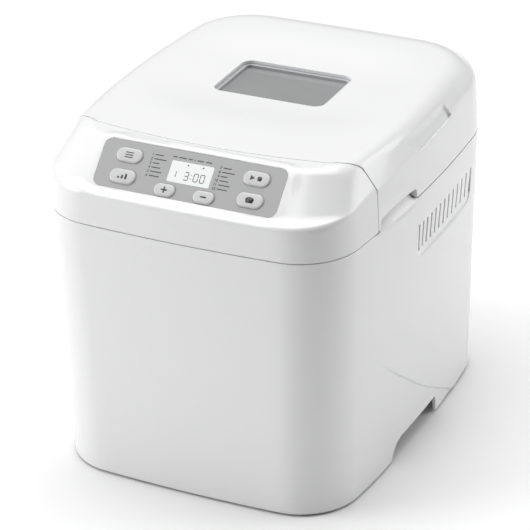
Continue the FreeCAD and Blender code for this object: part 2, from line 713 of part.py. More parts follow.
def heating_element():
    """A sheathed tube that runs once round the pan, with both ends out at the front."""
    front = AXIS_Y - ELEMENT_D
    rear = AXIS_Y + ELEMENT_D
    left, right = ELEMENT_ENDS
    join_left = V(left - 12, front, ELEMENT_Z)
    join_right = V(right + 12, front, ELEMENT_Z)
    left_end = pipe([V(left, front - 22, ELEMENT_Z), V(left, front, ELEMENT_Z), join_left],
                    8.0, ELEMENT_R)
    right_end = pipe([V(right, front - 22, ELEMENT_Z), V(right, front, ELEMENT_Z), join_right],
                     8.0, ELEMENT_R)
    loop = pipe([join_left, V(-ELEMENT_W, front, ELEMENT_Z), V(-ELEMENT_W, rear, ELEMENT_Z),
                 V(ELEMENT_W, rear, ELEMENT_Z), V(ELEMENT_W, front, ELEMENT_Z), join_right],
                34.0, ELEMENT_R)
    return fused([left_end, loop, right_end])


def element_clips():
    clip = box(88.5, CHAMBER_W / 2 - SHEET, AXIS_Y - 5, AXIS_Y + 5, 63, 73)
    rear = AXIS_Y + ELEMENT_D
    back = box(-5, 5, rear + 3.5, AXIS_Y + CHAMBER_D / 2 - SHEET, 63, 73)
    return Part.makeCompound(both_sides(clip) + [back])


def element_terminals():
    """Ceramic bushes in the chamber's front wall, each with a tab for a wire."""
    front = AXIS_Y - CHAMBER_D / 2
    pieces = []
    for x in ELEMENT_ENDS:
        bush = fore_aft(x, front - 7, front + 1.6, ELEMENT_Z, 4.5)
        bush = fused([bush, fore_aft(x, front - 2.4, front - 0.1, ELEMENT_Z, 5.8)])
        pieces.append(bush.cut(fore_aft(x, front - 20, front + 9, ELEMENT_Z, ELEMENT_R + 0.05)))
        pieces.append(box(x - 3, x + 3, front - 25, front - 12.1, ELEMENT_Z - 0.5, ELEMENT_Z + 0.5))
    return Part.makeCompound(pieces)


def temperature_sensor():
    front = AXIS_Y - CHAMBER_D / 2
    probe = fore_aft(SENSOR_X, front - 10, front + 12, SENSOR_Z, 3.0)
    collar = fore_aft(SENSOR_X, front - 2.6, front - 0.1, SENSOR_Z, 6.5)
    return fused([probe, collar])


def sector(radius, z0, z1, start, sweep):
    """A wedge of a disc about the drive's axis, from the angle start through sweep."""
    wedge = Part.makeCylinder(radius, z1 - z0, V(0, AXIS_Y, z0), V(0, 0, 1), sweep)
    wedge.rotate(V(0, AXIS_Y, 0), V(0, 0, 1), start)
    return wedge


def pan_socket():
    """The ring on the chamber's floor; its lips hold the pan's lugs down."""
    floor = CHAMBER_Z + SHEET
    body = ring(0, AXIS_Y, floor, SOCKET_TOP, 47.0, 42.2)
    lips = []
    for start in (90 - 7, 270 - 7):
        lip = sector(44.0, SOCKET_TOP - 2.4, SOCKET_TOP, start, 13)
        lips.append(lip.cut(upright(0, AXIS_Y, 40, 80, 39.0)))
    return fused([body] + lips)


# ---- the bread pan and what turns in it ----
def bread_pan():
    low = (PAN_W - PAN_TAPER, PAN_D - PAN_TAPER, PAN_R)
    high = (PAN_W, PAN_D, PAN_R)
    t = 2 * PAN_WALL
    outer = tapered_block(AXIS_Y, PAN_Z, PAN_TOP, low, high)
    inner = tapered_block(AXIS_Y, PAN_Z + PAN_WALL, PAN_TOP + 0.5,
                          (low[0] - t, low[1] - t, PAN_R - PAN_WALL),
                          (high[0] - t, high[1] - t, PAN_R - PAN_WALL))
    rim = rounded_block(0, AXIS_Y, PAN_TOP - 3, PAN_TOP, PAN_W + 4, PAN_D + 4, PAN_R + 2)
    skirt = ring(0, AXIS_Y, 52.0, PAN_Z + 1, 38.0, 36.0)
    lugs = []
    for start in (90 - LUG_SWEEP, 270 - LUG_SWEEP):
        lug = sector(41.0, 53.6, 56.8, start, 2 * LUG_SWEEP)
        lugs.append(lug.cut(upright(0, AXIS_Y, 40, 80, 37.0)))
    ear = box(70.5, 76.2, AXIS_Y - 8, AXIS_Y + 8, HANDLE_Z - 8, PAN_TOP - 1)
    pan = fused([outer, rim, skirt] + lugs + both_sides(ear))
    cuts = [inner, upright(0, AXIS_Y, PAN_Z - 2, PAN_Z + 4, 7.6)]
    cuts += both_sides(across(73.3, 78, AXIS_Y, HANDLE_Z, HANDLE_WIRE + 0.07))
    return pan.cut(cuts)


def pan_bushing():
    """The flanged sleeve that carries the paddle's shaft through the pan's floor."""
    sleeve = ring(0, AXIS_Y, 67.2, 76.0, 7.5, SHAFT_R + RUNNING)
    flange = ring(0, AXIS_Y, 67.2, PAN_Z, 11.0, 7.0)
    nut = ring(0, AXIS_Y, PAN_Z + PAN_WALL, 76.0, 10.5, 7.0)
    return fused([sleeve, flange, nut])


def pan_handle():
    y0 = AXIS_Y
    y1 = AXIS_Y + HANDLE_REACH
    points = [V(-73.6, y0, HANDLE_Z), V(-HANDLE_X, y0, HANDLE_Z), V(-HANDLE_X, y1, HANDLE_Z),
              V(HANDLE_X, y1, HANDLE_Z), V(HANDLE_X, y0, HANDLE_Z), V(73.6, y0, HANDLE_Z)]
    left = pipe(points[:2] + [V(-HANDLE_X, y0 + 20, HANDLE_Z)], 2.6, HANDLE_WIRE)
    bow = pipe([V(-HANDLE_X, y0 + 20, HANDLE_Z)] + points[2:4] + [V(HANDLE_X, y0 + 20, HANDLE_Z)],
               25.0, HANDLE_WIRE)
    return fused([left, bow, left.mirror(V(0, 0, 0), V(1, 0, 0))])


def pan_shaft():
    shaft = upright(0, AXIS_Y, WING_Z, 92.0, SHAFT_R)
    flat = box(SHAFT_R - 1.2, 9, AXIS_Y - 9, AXIS_Y + 9, 77.0, 95.0)
    return shaft.cut(flat)


def wing_coupling():
    hub = upright(0, AXIS_Y, WING_Z, WING_Z + WING_T, 8.0)
    wings = box(-15.5, 15.5, AXIS_Y - 2.2, AXIS_Y + 2.2, WING_Z, WING_Z + WING_T)
    return fused([hub, wings]).cut(upright(0, AXIS_Y, 50, 70, SHAFT_R + 0.01))


def kneading_paddle():
    hub = upright(0, AXIS_Y, 77.0, 99.0, 8.6)
    blade = box(5, 50, AXIS_Y - 1.6, AXIS_Y + 1.6, 77.5, 97.0)
    lead = Part.makeCylinder(24, 10, V(52, AXIS_Y - 5, 106), V(0, 1, 0))
    toe = rounded_block(30, AXIS_Y, 77.5, 79.3, 42, 11, 5.4)
    bore = upright(0, AXIS_Y, 76, 93, SHAFT_R + 0.05)
    bore = bore.cut(box(SHAFT_R - 1.15, 9, AXIS_Y - 9, AXIS_Y + 9, 70, 95))
    return fused([hub, blade.cut(lead), toe]).cut(bore)


def drive_coupling():
    """The driver under the pan: a disc with two ears that push the wings round."""
    disc = upright(0, AXIS_Y, 57.8, 60.6, 17.0)
    ears = []
    for start in (-36, 144):
        ear = sector(16.5, 60.0, 66.4, start, 22)
        ears.append(ear.cut(upright(0, AXIS_Y, 50, 70, 10.5)))
    return fused([disc] + ears).cut(upright(0, AXIS_Y, 50, 59.6, SHAFT_R + 0.01))


def drive_shaft():
    return upright(0, AXIS_Y, 21.5, 59.5, SHAFT_R)


def pulley(x, y, groove, hub):
    """A flanged belt pulley."""
    low = BELT_Z - 0.3
    high = BELT_Z + BELT_W + 0.3
    wheel = fused([upright(x, y, low - 1.2, high + 1.2, groove),
                   upright(x, y, low - 1.2, low, groove + 2.2),
                   upright(x, y, high, high + 1.2, groove + 2.2),
                   upright(x, y, low - 1.2, high + 1.2, hub)])
    return wheel.cut(upright(x, y, 10, 60, SHAFT_R + 0.01))


def large_pulley():
    wheel = pulley(0, AXIS_Y, BIG_PULLEY_R, 12.0)
    windows = []
    for i in range(5):
        window = upright(26, AXIS_Y, 10, 60, 8.5)
        window.rotate(V(0, AXIS_Y, 0), V(0, 0, 1), 72 * i)
        windows.append(window)
    return wheel.cut(windows)


def motor_pulley():
    return pulley(MOTOR_X, MOTOR_Y, SMALL_PULLEY_R, SMALL_PULLEY_R)


def belt_loop(clear, z0, z1):
    """The solid inside a belt that runs round both pulleys at the given clearance."""
    big = V(0, AXIS_Y, z0)
    small = V(MOTOR_X, MOTOR_Y, z0)
    r1 = BIG_PULLEY_R + clear
    r2 = SMALL_PULLEY_R + clear
    line = small - big
    heading = math.atan2(line.y, line.x)
    lean = math.acos((r1 - r2) / line.Length)
    ends = []
    for turn in (lean, -lean):
        out = V(math.cos(heading + turn), math.sin(heading + turn), 0)
        ends.append((big + out * r1, small + out * r2))
    (b1, s1), (b2, s2) = ends
    back = big - line.normalize() * r1
    tip = small + (small - big).normalize() * r2
    edges = [Part.Arc(b1, back, b2).toShape(), Part.makeLine(b2, s2),
             Part.Arc(s2, tip, s1).toShape(), Part.makeLine(s1, b1)]
    return Part.Face(Part.Wire(edges)).extrude(V(0, 0, z1 - z0))


def drive_belt():
    outer = belt_loop(BELT_CLEAR + BELT_T, BELT_Z, BELT_Z + BELT_W)
    return outer.cut(belt_loop(BELT_CLEAR, BELT_Z - 1, BELT_Z + BELT_W + 1))


def bearing_housing():
    top = CHASSIS_Z + CHASSIS_T
    barrel = upright(0, AXIS_Y, 35.5, 57.0, 13.8)
    flange = upright(0, AXIS_Y, top, top + 3, 24.0)
    return fused([barrel, flange]).cut(upright(0, AXIS_Y, 30, 60, 8.0))


def bushes():
    """Sintered sleeves: two for the drive shaft and two for the motor shaft."""
    sleeves = [ring(0, AXIS_Y, 35.5, 43.0, 8.0, SHAFT_R + RUNNING),
               ring(0, AXIS_Y, 49.0, 57.0, 8.0, SHAFT_R + RUNNING),
               ring(MOTOR_X, MOTOR_Y, 39.6, 45.0, 8.0, SHAFT_R + RUNNING),
               ring(MOTOR_X, MOTOR_Y, 90.5, 95.5, 8.0, SHAFT_R + RUNNING)]
    return Part.makeCompound(sleeves)


# ---- the motor and the steel frame that carries it ----
def motor_brackets():
    plates = []
    for z0, z1, p0, p1 in ((39.6, 43.0, 43.0, 52.0), (92.0, 95.5, 82.0, 92.0)):
        plate = rounded_block(MOTOR_X, MOTOR_Y, z0, z1, MOTOR_SIZE, MOTOR_SIZE, 8)
        low = p0 - 1 if p0 == z1 else p0
        high = p1 if p0 == z1 else p1 + 1
        posts = [upright(x, y, low, high, 3.5) for x, y in MOTOR_POSTS]
        plate = fused([plate] + posts)
        plates.append(plate.cut(upright(MOTOR_X, MOTOR_Y, 30, 110, 8.0)))
    return Part.makeCompound(plates)


def motor_core():
    core = rounded_block(MOTOR_X, MOTOR_Y, 52.0, 82.0, MOTOR_SIZE, MOTOR_SIZE, 8)
    return core.cut(upright(MOTOR_X, MOTOR_Y, 40, 100, 18.5))


def motor_windings():
    coils = [ring(MOTOR_X, MOTOR_Y, 45.6, 52.0, 27.0, 19.0),
             ring(MOTOR_X, MOTOR_Y, 82.0, 89.5, 27.0, 19.0)]
    rooms = [upright(x, y, 40, 100, 3.8) for x, y in MOTOR_POSTS]
    return Part.makeCompound([c.cut(rooms) for c in coils])


def motor_rotor():
    shaft = upright(MOTOR_X, MOTOR_Y, 22.0, 105.0, SHAFT_R)
    return fused([shaft, upright(MOTOR_X, MOTOR_Y, 53.0, 81.0, 18.0)])


def motor_fan():
    hub = upright(MOTOR_X, MOTOR_Y, 96.5, 104.0, 9.0)
    disc = upright(MOTOR_X, MOTOR_Y, 96.5, 98.0, 27.0)
    blades = []
    for i in range(9):
        blade = box(MOTOR_X + 8, MOTOR_X + 26, MOTOR_Y - 0.7, MOTOR_Y + 0.7, 97.5, 104.0)
        blade.rotate(V(MOTOR_X, MOTOR_Y, 0), V(0, 0, 1), 40 * i)
        blades.append(blade)
    return fused([hub, disc] + blades).cut(upright(MOTOR_X, MOTOR_Y, 90, 110, SHAFT_R + 0.01))


def chassis():
    top = CHASSIS_Z + CHASSIS_T
    plate = rounded_block(0, -31, CHASSIS_Z, top, 164, 222, 6)
    legs = []
    for y0, y1 in ((-128, -88), (40, 76)):
        leg = box(80.5, 82, y0, y1, 20, top)
        toe = box(80.5, 94, y0, y1, 20, 21.5)
        legs += both_sides(leg) + both_sides(toe)
    frame = fused([plate] + legs)
    cuts = [upright(0, AXIS_Y, 30, 50, 14.0), upright(MOTOR_X, MOTOR_Y, 30, 50, 9.5)]
    cuts += [upright(x, y, 30, 50, 2.2) for x, y in STANDOFFS]
    cuts += [upright(x, y, 10, 30, 2.0) for x, y in CHASSIS_FEET]
    return frame.cut(cuts)


def chassis_screws():
    screws = []
    for x, y in CHASSIS_FEET:
        screws.append(fused([upright(x, y, 21.5, 23.9, 3.6), upright(x, y, 20.05, 22, 1.9)]))
    return Part.makeCompound(screws)


# ---- where the mains cord would leave ----
def cord_grommet():
    """The rubber grommet in the rear wall; the cord itself is left out."""
    wall_y = 142.4
    neck = fore_aft(CORD_X, wall_y - 4.2, wall_y + 2.2, CORD_Z, CORD_HOLE_R - 0.1)
    outside = fore_aft(CORD_X, wall_y + 1.6, wall_y + 4.0, CORD_Z, 10.0)
    inside = fore_aft(CORD_X, wall_y - 6.0, wall_y - 3.6, CORD_Z, 10.0)
    bore = fore_aft(CORD_X, wall_y - 9, wall_y + 9, CORD_Z, 3.6)
    return fused([neck, outside, inside]).cut(bore)


NODES = {
    "body_shell": body_shell, "base_plate": base_plate, "rubber_feet": rubber_feet,
    "base_screws": base_screws, "top_cover": top_cover, "deck_frame": deck_frame,
    "lid_shell": lid_shell, "window_frame": window_frame, "window_glass": window_glass,
    "window_retainer": window_retainer, "lid_liner": lid_liner, "inner_glass": inner_glass,
    "lid_seal": lid_seal, "lid_screws": lid_screws, "hinge_pins": hinge_pins,
    "control_overlay": control_overlay, "lcd_lens": lcd_lens, "lcd_module": lcd_module,
    "control_board": control_board, "tact_switches": tact_switches,
    "board_screws": board_screws, "power_board": power_board, "transformer": transformer,
    "capacitor": capacitor, "oven_chamber": oven_chamber,
    "chamber_standoffs": chamber_standoffs, "chamber_screws": chamber_screws,
    "heat_shield": heat_shield, "heating_element": heating_element,
    "element_clips": element_clips, "element_terminals": element_terminals,
    "temperature_sensor": temperature_sensor, "pan_socket": pan_socket,
    "bread_pan": bread_pan, "pan_bushing": pan_bushing, "pan_handle": pan_handle,
    "pan_shaft": pan_shaft, "wing_coupling": wing_coupling, "kneading_paddle": kneading_paddle,
    "drive_coupling": drive_coupling, "drive_shaft": drive_shaft, "large_pulley": large_pulley,
    "motor_pulley": motor_pulley, "drive_belt": drive_belt,
    "bearing_housing": bearing_housing, "bushes": bushes, "motor_brackets": motor_brackets,
    "motor_core": motor_core, "motor_windings": motor_windings, "motor_rotor": motor_rotor,
    "motor_fan": motor_fan, "chassis": chassis, "chassis_screws": chassis_screws,
    "cord_grommet": cord_grommet,
}
for node, make in NODES.items():
    save(node, make())
for node, place in BUTTONS.items():
    save(node, button(*place))
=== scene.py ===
# %% [markdown]
# # A bread machine in glossy white plastic
# The working parts come from the CAD model, which this script loads as a fixed frame. Blender adds what
# the eye judges first: the casing's soft edges, the printed panel, the keys and every finish.

# %% The frame
import json
import math

import bmesh
import bpy
from mathutils import Matrix, Vector


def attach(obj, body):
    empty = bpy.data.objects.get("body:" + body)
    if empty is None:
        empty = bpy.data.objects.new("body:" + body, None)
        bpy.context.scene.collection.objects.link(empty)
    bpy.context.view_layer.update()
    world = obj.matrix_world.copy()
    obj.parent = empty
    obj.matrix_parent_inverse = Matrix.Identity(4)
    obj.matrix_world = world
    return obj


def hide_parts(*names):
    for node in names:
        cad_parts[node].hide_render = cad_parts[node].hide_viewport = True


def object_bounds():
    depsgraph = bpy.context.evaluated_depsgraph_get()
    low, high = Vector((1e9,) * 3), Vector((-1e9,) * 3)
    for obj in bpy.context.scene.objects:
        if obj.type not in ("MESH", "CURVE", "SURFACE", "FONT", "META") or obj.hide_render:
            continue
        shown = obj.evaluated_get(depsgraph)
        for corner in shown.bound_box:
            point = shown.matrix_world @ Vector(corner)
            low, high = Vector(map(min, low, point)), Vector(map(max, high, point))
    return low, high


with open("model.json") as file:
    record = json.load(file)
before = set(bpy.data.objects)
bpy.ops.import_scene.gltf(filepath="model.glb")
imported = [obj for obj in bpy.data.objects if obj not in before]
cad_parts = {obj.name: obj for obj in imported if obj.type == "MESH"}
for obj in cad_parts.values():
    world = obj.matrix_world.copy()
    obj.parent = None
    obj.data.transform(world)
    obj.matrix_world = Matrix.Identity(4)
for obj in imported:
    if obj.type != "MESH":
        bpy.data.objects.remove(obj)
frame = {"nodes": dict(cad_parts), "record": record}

cad_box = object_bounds()
print("CAD box", [round(v * 1000, 1) for corner in cad_box for v in corner])

# %% [markdown]
# ## The camera
# A long lens from the front right, a little above the lid. It comes first so that every later shape can
# be judged from the place that matters. The two turned axes give the camera a small roll.

# %% The camera
FORWARD = Vector((-0.3915, 0.8036, -0.4482))
RIGHT = Vector((0.8990, 0.4380, 0.0))
ROLL = -0.0163
CAMERA_SPOT = (0.7272, -1.5129, 0.9548)
LENS = 174.5              # millimetres, on a sensor 36 mm wide


def place_camera():
    up = RIGHT.cross(FORWARD)
    across = RIGHT * math.cos(ROLL) + up * math.sin(ROLL)
    upward = up * math.cos(ROLL) - RIGHT * math.sin(ROLL)
    turned = Matrix((across, upward, -FORWARD)).transposed()
    camera = bpy.data.objects.new("camera", bpy.data.cameras.new("camera"))
    bpy.context.scene.collection.objects.link(camera)
    camera.matrix_world = Matrix.Translation(CAMERA_SPOT) @ turned.to_4x4()
    camera.data.lens = LENS
    camera.data.sensor_width = 36.0
    bpy.context.scene.camera = camera
    return camera


print("camera lens", place_camera().data.lens)

# %% [markdown]
# ## Writing shader maths as Python
# A pattern in a material is a graph of nodes. Wrapping each socket in a small class lets the graph be
# written as sums and products, and one method makes every other node from its type, settings and inputs.


# %% A socket that can be added and multiplied
class Signal:
    def __init__(self, finish, socket):
        self.finish = finish
        self.socket = socket

    def __add__(self, other):
        return self.finish.maths("ADD", self, other)

    def __mul__(self, other):
        return self.finish.maths("MULTIPLY", self, other)

    def __gt__(self, other):
        return self.finish.maths("GREATER_THAN", self, other)

    def __lt__(self, other):
        return self.finish.maths("LESS_THAN", self, other)

    __radd__ = __add__
    __rmul__ = __mul__


print("signals can be added, multiplied and compared")


# %% A finish: one material and the nodes behind it
class Finish:
    def __init__(self, name, **constants):
        self.material = bpy.data.materials.new(name)
        self.material.use_nodes = True
        self.tree = self.material.node_tree
        self.shader = self.tree.nodes["Principled BSDF"]
        for key, value in constants.items():
            self.shader.inputs[key.replace("_", " ")].default_value = value
        self.point = self.node("ShaderNodeTexCoord", "Object")

    def node(self, kind, output, settings=None, **inputs):
        made = self.tree.nodes.new(kind)
        for key, value in (settings or {}).items():
            setattr(made, key, value)
        for key, value in inputs.items():
            slot = made.inputs[int(key[1:])] if key[0] == "_" else made.inputs[key.replace("_", " ")]
            self.feed(slot, value)
        return Signal(self, made.outputs[output])

    def feed(self, slot, value):
        if isinstance(value, Signal):
            self.tree.links.new(value.socket, slot)
        else:
            slot.default_value = value

    def maths(self, operation, first, second):
        return self.node("ShaderNodeMath", 0, {"operation": operation}, _0=first, _1=second)

    def noise(self, scale, detail=2.0, point=None):
        return self.node("ShaderNodeTexNoise", "Fac", Vector=point or self.point, Scale=scale, Detail=detail)

    def stretched(self, x, y, z):
        """The point with its axes scaled, for grain that runs one way."""
        return self.node("ShaderNodeMapping", "Vector", Vector=self.point, Scale=(x, y, z))

    def axis(self, which):
        return self.node("ShaderNodeSeparateXYZ", which, Vector=self.point)

    def blend(self, share, first, second):
        """A colour between two colours."""
        mix = self.node("ShaderNodeMix", 2, {"data_type": "RGBA"}, _0=share)
        slots = mix.socket.node.inputs
        for slot, value in ((slots[6], first), (slots[7], second)):
            self.feed(slot, value if isinstance(value, Signal) else (*value, 1.0))
        return mix

    def paint(self, socket, value):
        self.feed(self.shader.inputs[socket], value)

    def bump(self, height, strength, distance):
        normal = self.node("ShaderNodeBump", "Normal", Height=height, Strength=strength, Distance=distance)
        self.paint("Normal", normal)


print("shader tools ready")

# %% [markdown]
# ## The finishes
# Moulded plastic is never one colour: it clouds faintly, its gloss wanders, and the mould leaves a fine
# grain. Each family of material gets one function, and small numbers keep the effect at its real size.


# %% Plastics and rubber
def plastic(name, colour, rough, grain=0.02, coat=0.0, scale=900.0, cloud=0.025):
    finish = Finish(name, Coat_Weight=coat, Coat_Roughness=0.08, IOR=1.5)
    drift = finish.noise(9.0, 3.0)
    dark = tuple(c * (1 - cloud) for c in colour)
    finish.paint("Base Color", finish.blend(drift, dark, colour))
    finish.paint("Roughness", rough - 0.015 + finish.noise(40.0, 4.0) * 0.03)
    finish.bump(finish.noise(scale, 2.0), grain, 0.0002)
    return finish.material


def rubber(name, colour):
    finish = Finish(name, IOR=1.45)
    dust = finish.noise(120.0, 6.0)
    finish.paint("Base Color", finish.blend(dust * 0.5, colour, tuple(c + 0.05 for c in colour)))
    finish.paint("Roughness", 0.62 + dust * 0.2)
    finish.bump(finish.noise(1500.0, 3.0), 0.25, 0.0003)
    return finish.material


print("recipes:", plastic.__name__, rubber.__name__)


# %% Metals
def metal(name, colour, rough, run=(1, 1, 1), scratch=0.1, stain=0.15, scale=600.0):
    """A metal whose scratches run along one axis, with a faint stain over it."""
    finish = Finish(name, Metallic=1.0)
    lines = finish.noise(scale, 3.0, finish.stretched(*run))
    stains = finish.noise(25.0, 5.0)
    dark = tuple(c * (1 - stain) for c in colour)
    finish.paint("Base Color", finish.blend(stains, dark, colour))
    finish.paint("Roughness", rough - 0.06 + lines * 0.08 + stains * 0.06)
    finish.bump(lines, scratch, 0.0002)
    return finish.material


def stacked(name, colour, pitch, axis="Z", rough=0.5, metallic=1.0, depth=0.5):
    """Stacked sheets or wound wire: fine ribs that repeat along one axis, with painted shade darkening the
    colour in the grooves between them.
    """
    finish = Finish(name, Metallic=metallic)
    wave = finish.maths("SINE", finish.axis(axis) * (2 * math.pi / pitch), 0.0)
    rib_and_groove_shade = wave * 0.5 + 0.5
    # painted shade: the colour falls to 0.55 of itself in each groove, where the rib's bump sinks
    dark = tuple(c * 0.55 for c in colour)
    finish.paint("Base Color", finish.blend(rib_and_groove_shade, dark, colour))
    finish.paint("Roughness", rough + finish.noise(200.0, 3.0) * 0.15)
    finish.bump(rib_and_groove_shade, depth, 0.0003)
    return finish.material


# %% Boards, coatings and glass
def board(name, colour):
    """Green solder mask over copper tracks, with tinned pads."""
    finish = Finish(name, IOR=1.5)
    square = {"feature": "DISTANCE_TO_EDGE", "distance": "CHEBYCHEV"}
    cells = finish.node("ShaderNodeTexVoronoi", "Distance", square, Vector=finish.point, Scale=170.0,
                        Randomness=0.6)
    track = cells < 0.07
    pads = finish.node("ShaderNodeTexVoronoi", "Distance", Vector=finish.point, Scale=260.0, Randomness=0.25)
    pad = pads < 0.16
    green = finish.blend(track, colour, tuple(c * 1.9 for c in colour))
    finish.paint("Base Color", finish.blend(pad, green, (0.62, 0.62, 0.6)))
    finish.paint("Metallic", pad * 0.8)
    finish.paint("Roughness", 0.3 + finish.noise(90.0, 3.0) * 0.15)
    finish.bump(track + pad, 0.3, 0.0002)
    return finish.material


def coated(name, colour):
    """Non-stick coating: a dark film with fine pale flecks."""
    finish = Finish(name, IOR=1.4, Metallic=0.25)
    fleck = finish.noise(1400.0, 1.0) > 0.66
    finish.paint("Base Color", finish.blend(fleck, colour, (0.42, 0.42, 0.42)))
    finish.paint("Roughness", 0.34 + finish.noise(60.0, 4.0) * 0.14)
    finish.bump(finish.noise(900.0, 3.0), 0.12, 0.0002)
    return finish.material


def pane(name, colour, alpha, rough=0.06):
    """Tinted glass, thin enough to show as a partly clear surface."""
    finish = Finish(name, IOR=1.5, Coat_Weight=0.6, Coat_Roughness=0.03)
    smear = finish.noise(30.0, 5.0)
    finish.paint("Base Color", finish.blend(smear, tuple(c * 0.93 for c in colour), colour))
    finish.paint("Roughness", rough + smear * 0.08)
    finish.paint("Alpha", alpha - 0.04 + smear * 0.08)
    return finish.material


# %% One finish for each slot of the record
WHITE = (0.80, 0.80, 0.805)
FINISHES = {
    "casing": plastic("casing_white", WHITE, 0.26, 0.015, coat=0.35, cloud=0.015),
    "deck": plastic("deck_satin", (0.74, 0.74, 0.735), 0.42, 0.06),
    "base": plastic("base_satin", (0.68, 0.68, 0.68), 0.5, 0.08, cloud=0.05),
    "rubber": rubber("foot_rubber", (0.035, 0.035, 0.036)),
    "screw_steel": metal("zinc_screws", (0.6, 0.6, 0.62), 0.34, (1, 1, 8)),
    "panel_film": plastic("panel_film", (0.40, 0.40, 0.403), 0.38, 0.05, scale=2200.0),
    "lcd_clear": plastic("display_face", (0.86, 0.88, 0.87), 0.16, 0.01, coat=0.5),
    "lcd": plastic("display_frame", (0.5, 0.52, 0.5), 0.4, 0.05),
    "button": plastic("key_grey", (0.58, 0.58, 0.583), 0.32, 0.03, coat=0.15),
    "circuit_board": board("circuit_board", (0.02, 0.14, 0.05)),
    "switch": plastic("switch_black", (0.03, 0.03, 0.03), 0.35, 0.08),
    "transformer_core": stacked("varnished_stack", (0.1, 0.09, 0.085), 0.001, "X", 0.4, 0.7),
    "capacitor_sleeve": plastic("shrink_sleeve", (0.02, 0.025, 0.07), 0.25, 0.1, cloud=0.2),
    "chamber_steel": metal("aluminised_sheet", (0.66, 0.66, 0.64), 0.38, (1, 1, 0.06), 0.12, 0.2),
    "zinc_steel": metal("zinc_sheet", (0.55, 0.56, 0.57), 0.42, (0.2, 0.2, 1), 0.1, 0.3, 180.0),
    "element_sheath": metal("heated_sheath", (0.2, 0.17, 0.15), 0.5, scratch=0.2, stain=0.45),
    "ceramic": plastic("glazed_ceramic", (0.82, 0.79, 0.71), 0.18, 0.06, coat=0.4, scale=500.0),
    "steel": metal("stainless", (0.68, 0.68, 0.69), 0.22, (0.1, 1, 1)),
    "belt_rubber": stacked("belt_cord", (0.03, 0.03, 0.03), 0.001, "Z", 0.6, 0.0),
    "cast_aluminium": metal("cast_alloy", (0.68, 0.68, 0.69), 0.46, scratch=0.35, stain=0.12, scale=420.0),
    "bronze": metal("sintered_bronze", (0.55, 0.36, 0.18), 0.5, scratch=0.4, scale=1500.0),
    "core_iron": stacked("iron_stack", (0.24, 0.24, 0.25), 0.0011, "Z", 0.45),
    "copper": stacked("copper_wire", (0.62, 0.22, 0.09), 0.0009, "Z", 0.3, 0.9, 0.8),
    "nylon": plastic("natural_nylon", (0.76, 0.74, 0.68), 0.4, 0.1, cloud=0.06),
    "window_trim": plastic("window_trim", (0.42, 0.43, 0.44), 0.34, 0.05),
    "glass": pane("tinted_glass", (0.36, 0.37, 0.37), 0.86),
    "pan_coating": coated("pan_coating", (0.045, 0.045, 0.048)),
}
print(len(FINISHES), "finishes")

# %% [markdown]
# ## Finishing the CAD parts
# Every part that keeps its CAD shape takes the finish of its slot in the record. Only the material
# changes, so the shape stays exactly as the CAD model gives it.

# %% Finishing the CAD parts
SLOT_OF = {part["node"]: part["material_slot"] for part in frame["record"]["subparts"]}
for name, part in frame["nodes"].items():
    part.data.materials.clear()
    part.data.materials.append(FINISHES[SLOT_OF[name]])
print(len(SLOT_OF), "CAD parts finished")

# %% [markdown]
# ## Rings that become a skin
# The casing is a few outlines stacked up: four bowed sides and four round corners. A ring of vertices
# is set on the lowest outline and extruded ring by ring, so the skin is all four-sided faces and a
# reflection runs over it without a ripple. Everything is drawn in millimetres and scaled at the end.

# %% An outline seen from above
FRONT, REAR = cad_box[0].y * 1000, cad_box[1].y * 1000
HALF = cad_box[1].x * 1000
STEPS = {"end": 24, "front corner": 20, "side": 64, "rear corner": 22}


def bow_circle(p, q, bow, inside):
    """Centre and radius of the arc from p to q that stands out by bow."""
    middle = (p + q) / 2
    chord = (q - p).length / 2
    radius = (chord ** 2 + bow ** 2) / (2 * bow)
    along = (q - p).normalized()
    inward = Vector((-along.y, along.x))
    if inward.dot(inside - middle) < 0:
        inward = -inward
    return middle + inward * (radius - bow), radius


def corner_circle(one, other, radius, near):
    """Centre of a round corner inside two bowed sides, and where it touches them."""
    (c1, r1), (c2, r2) = one, other
    gap = c2 - c1
    a, b = r1 - radius, r2 - radius
    along = (gap.length ** 2 + a ** 2 - b ** 2) / (2 * gap.length)
    off = math.sqrt(a ** 2 - along ** 2)
    u = gap.normalized()
    v = Vector((-u.y, u.x))
    centre = min((c1 + u * along + v * off, c1 + u * along - v * off), key=lambda c: (c - near).length)
    return centre, c1 + (centre - c1).normalized() * r1, c2 + (centre - c2).normalized() * r2


def arc(centre, p, q, count):
    """Points from p towards q about centre, without q."""
    start = p - centre
    sweep = start.angle_signed(q - centre)
    return [centre + Matrix.Rotation(-sweep * i / count, 2) @ start for i in range(count)]


def outline(half, front, rear, z_front, z_rear, r_front, r_rear,
            bow_side=9.7, bow_front=4.7, bow_rear=3.5, flare=0.0):
    """The spots of one ring. Its height may rise evenly from the front to the rear."""
    y0, y1 = front + bow_front, rear - bow_rear
    x0, x1 = half - bow_side + flare, half - bow_side - flare
    inside = Vector((0, (y0 + y1) / 2))
    side = bow_circle(Vector((x0, y0)), Vector((x1, y1)), bow_side, inside)
    ahead = bow_circle(Vector((-x0, y0)), Vector((x0, y0)), bow_front, inside)
    behind = bow_circle(Vector((-x1, y1)), Vector((x1, y1)), bow_rear, inside)
    c0, on_front, on_side0 = corner_circle(ahead, side, r_front, Vector((x0 - r_front, y0 + r_front)))
    c1, on_side1, on_rear = corner_circle(side, behind, r_rear, Vector((x1 - r_rear, y1 - r_rear)))
    right = arc(ahead[0], Vector((0, front)), on_front, STEPS["end"])
    right += arc(c0, on_front, on_side0, STEPS["front corner"])
    right += arc(side[0], on_side0, on_side1, STEPS["side"])
    right += arc(c1, on_side1, on_rear, STEPS["rear corner"])
    right += arc(behind[0], on_rear, Vector((0, rear)), STEPS["end"])
    left = [Vector((-p.x, p.y)) for p in reversed(right[1:])]
    whole = right + [Vector((0, rear))] + left
    rise = (z_rear - z_front) / (rear - front)
    return [Vector((p.x, p.y, z_front + rise * (p.y - front))) for p in whole]


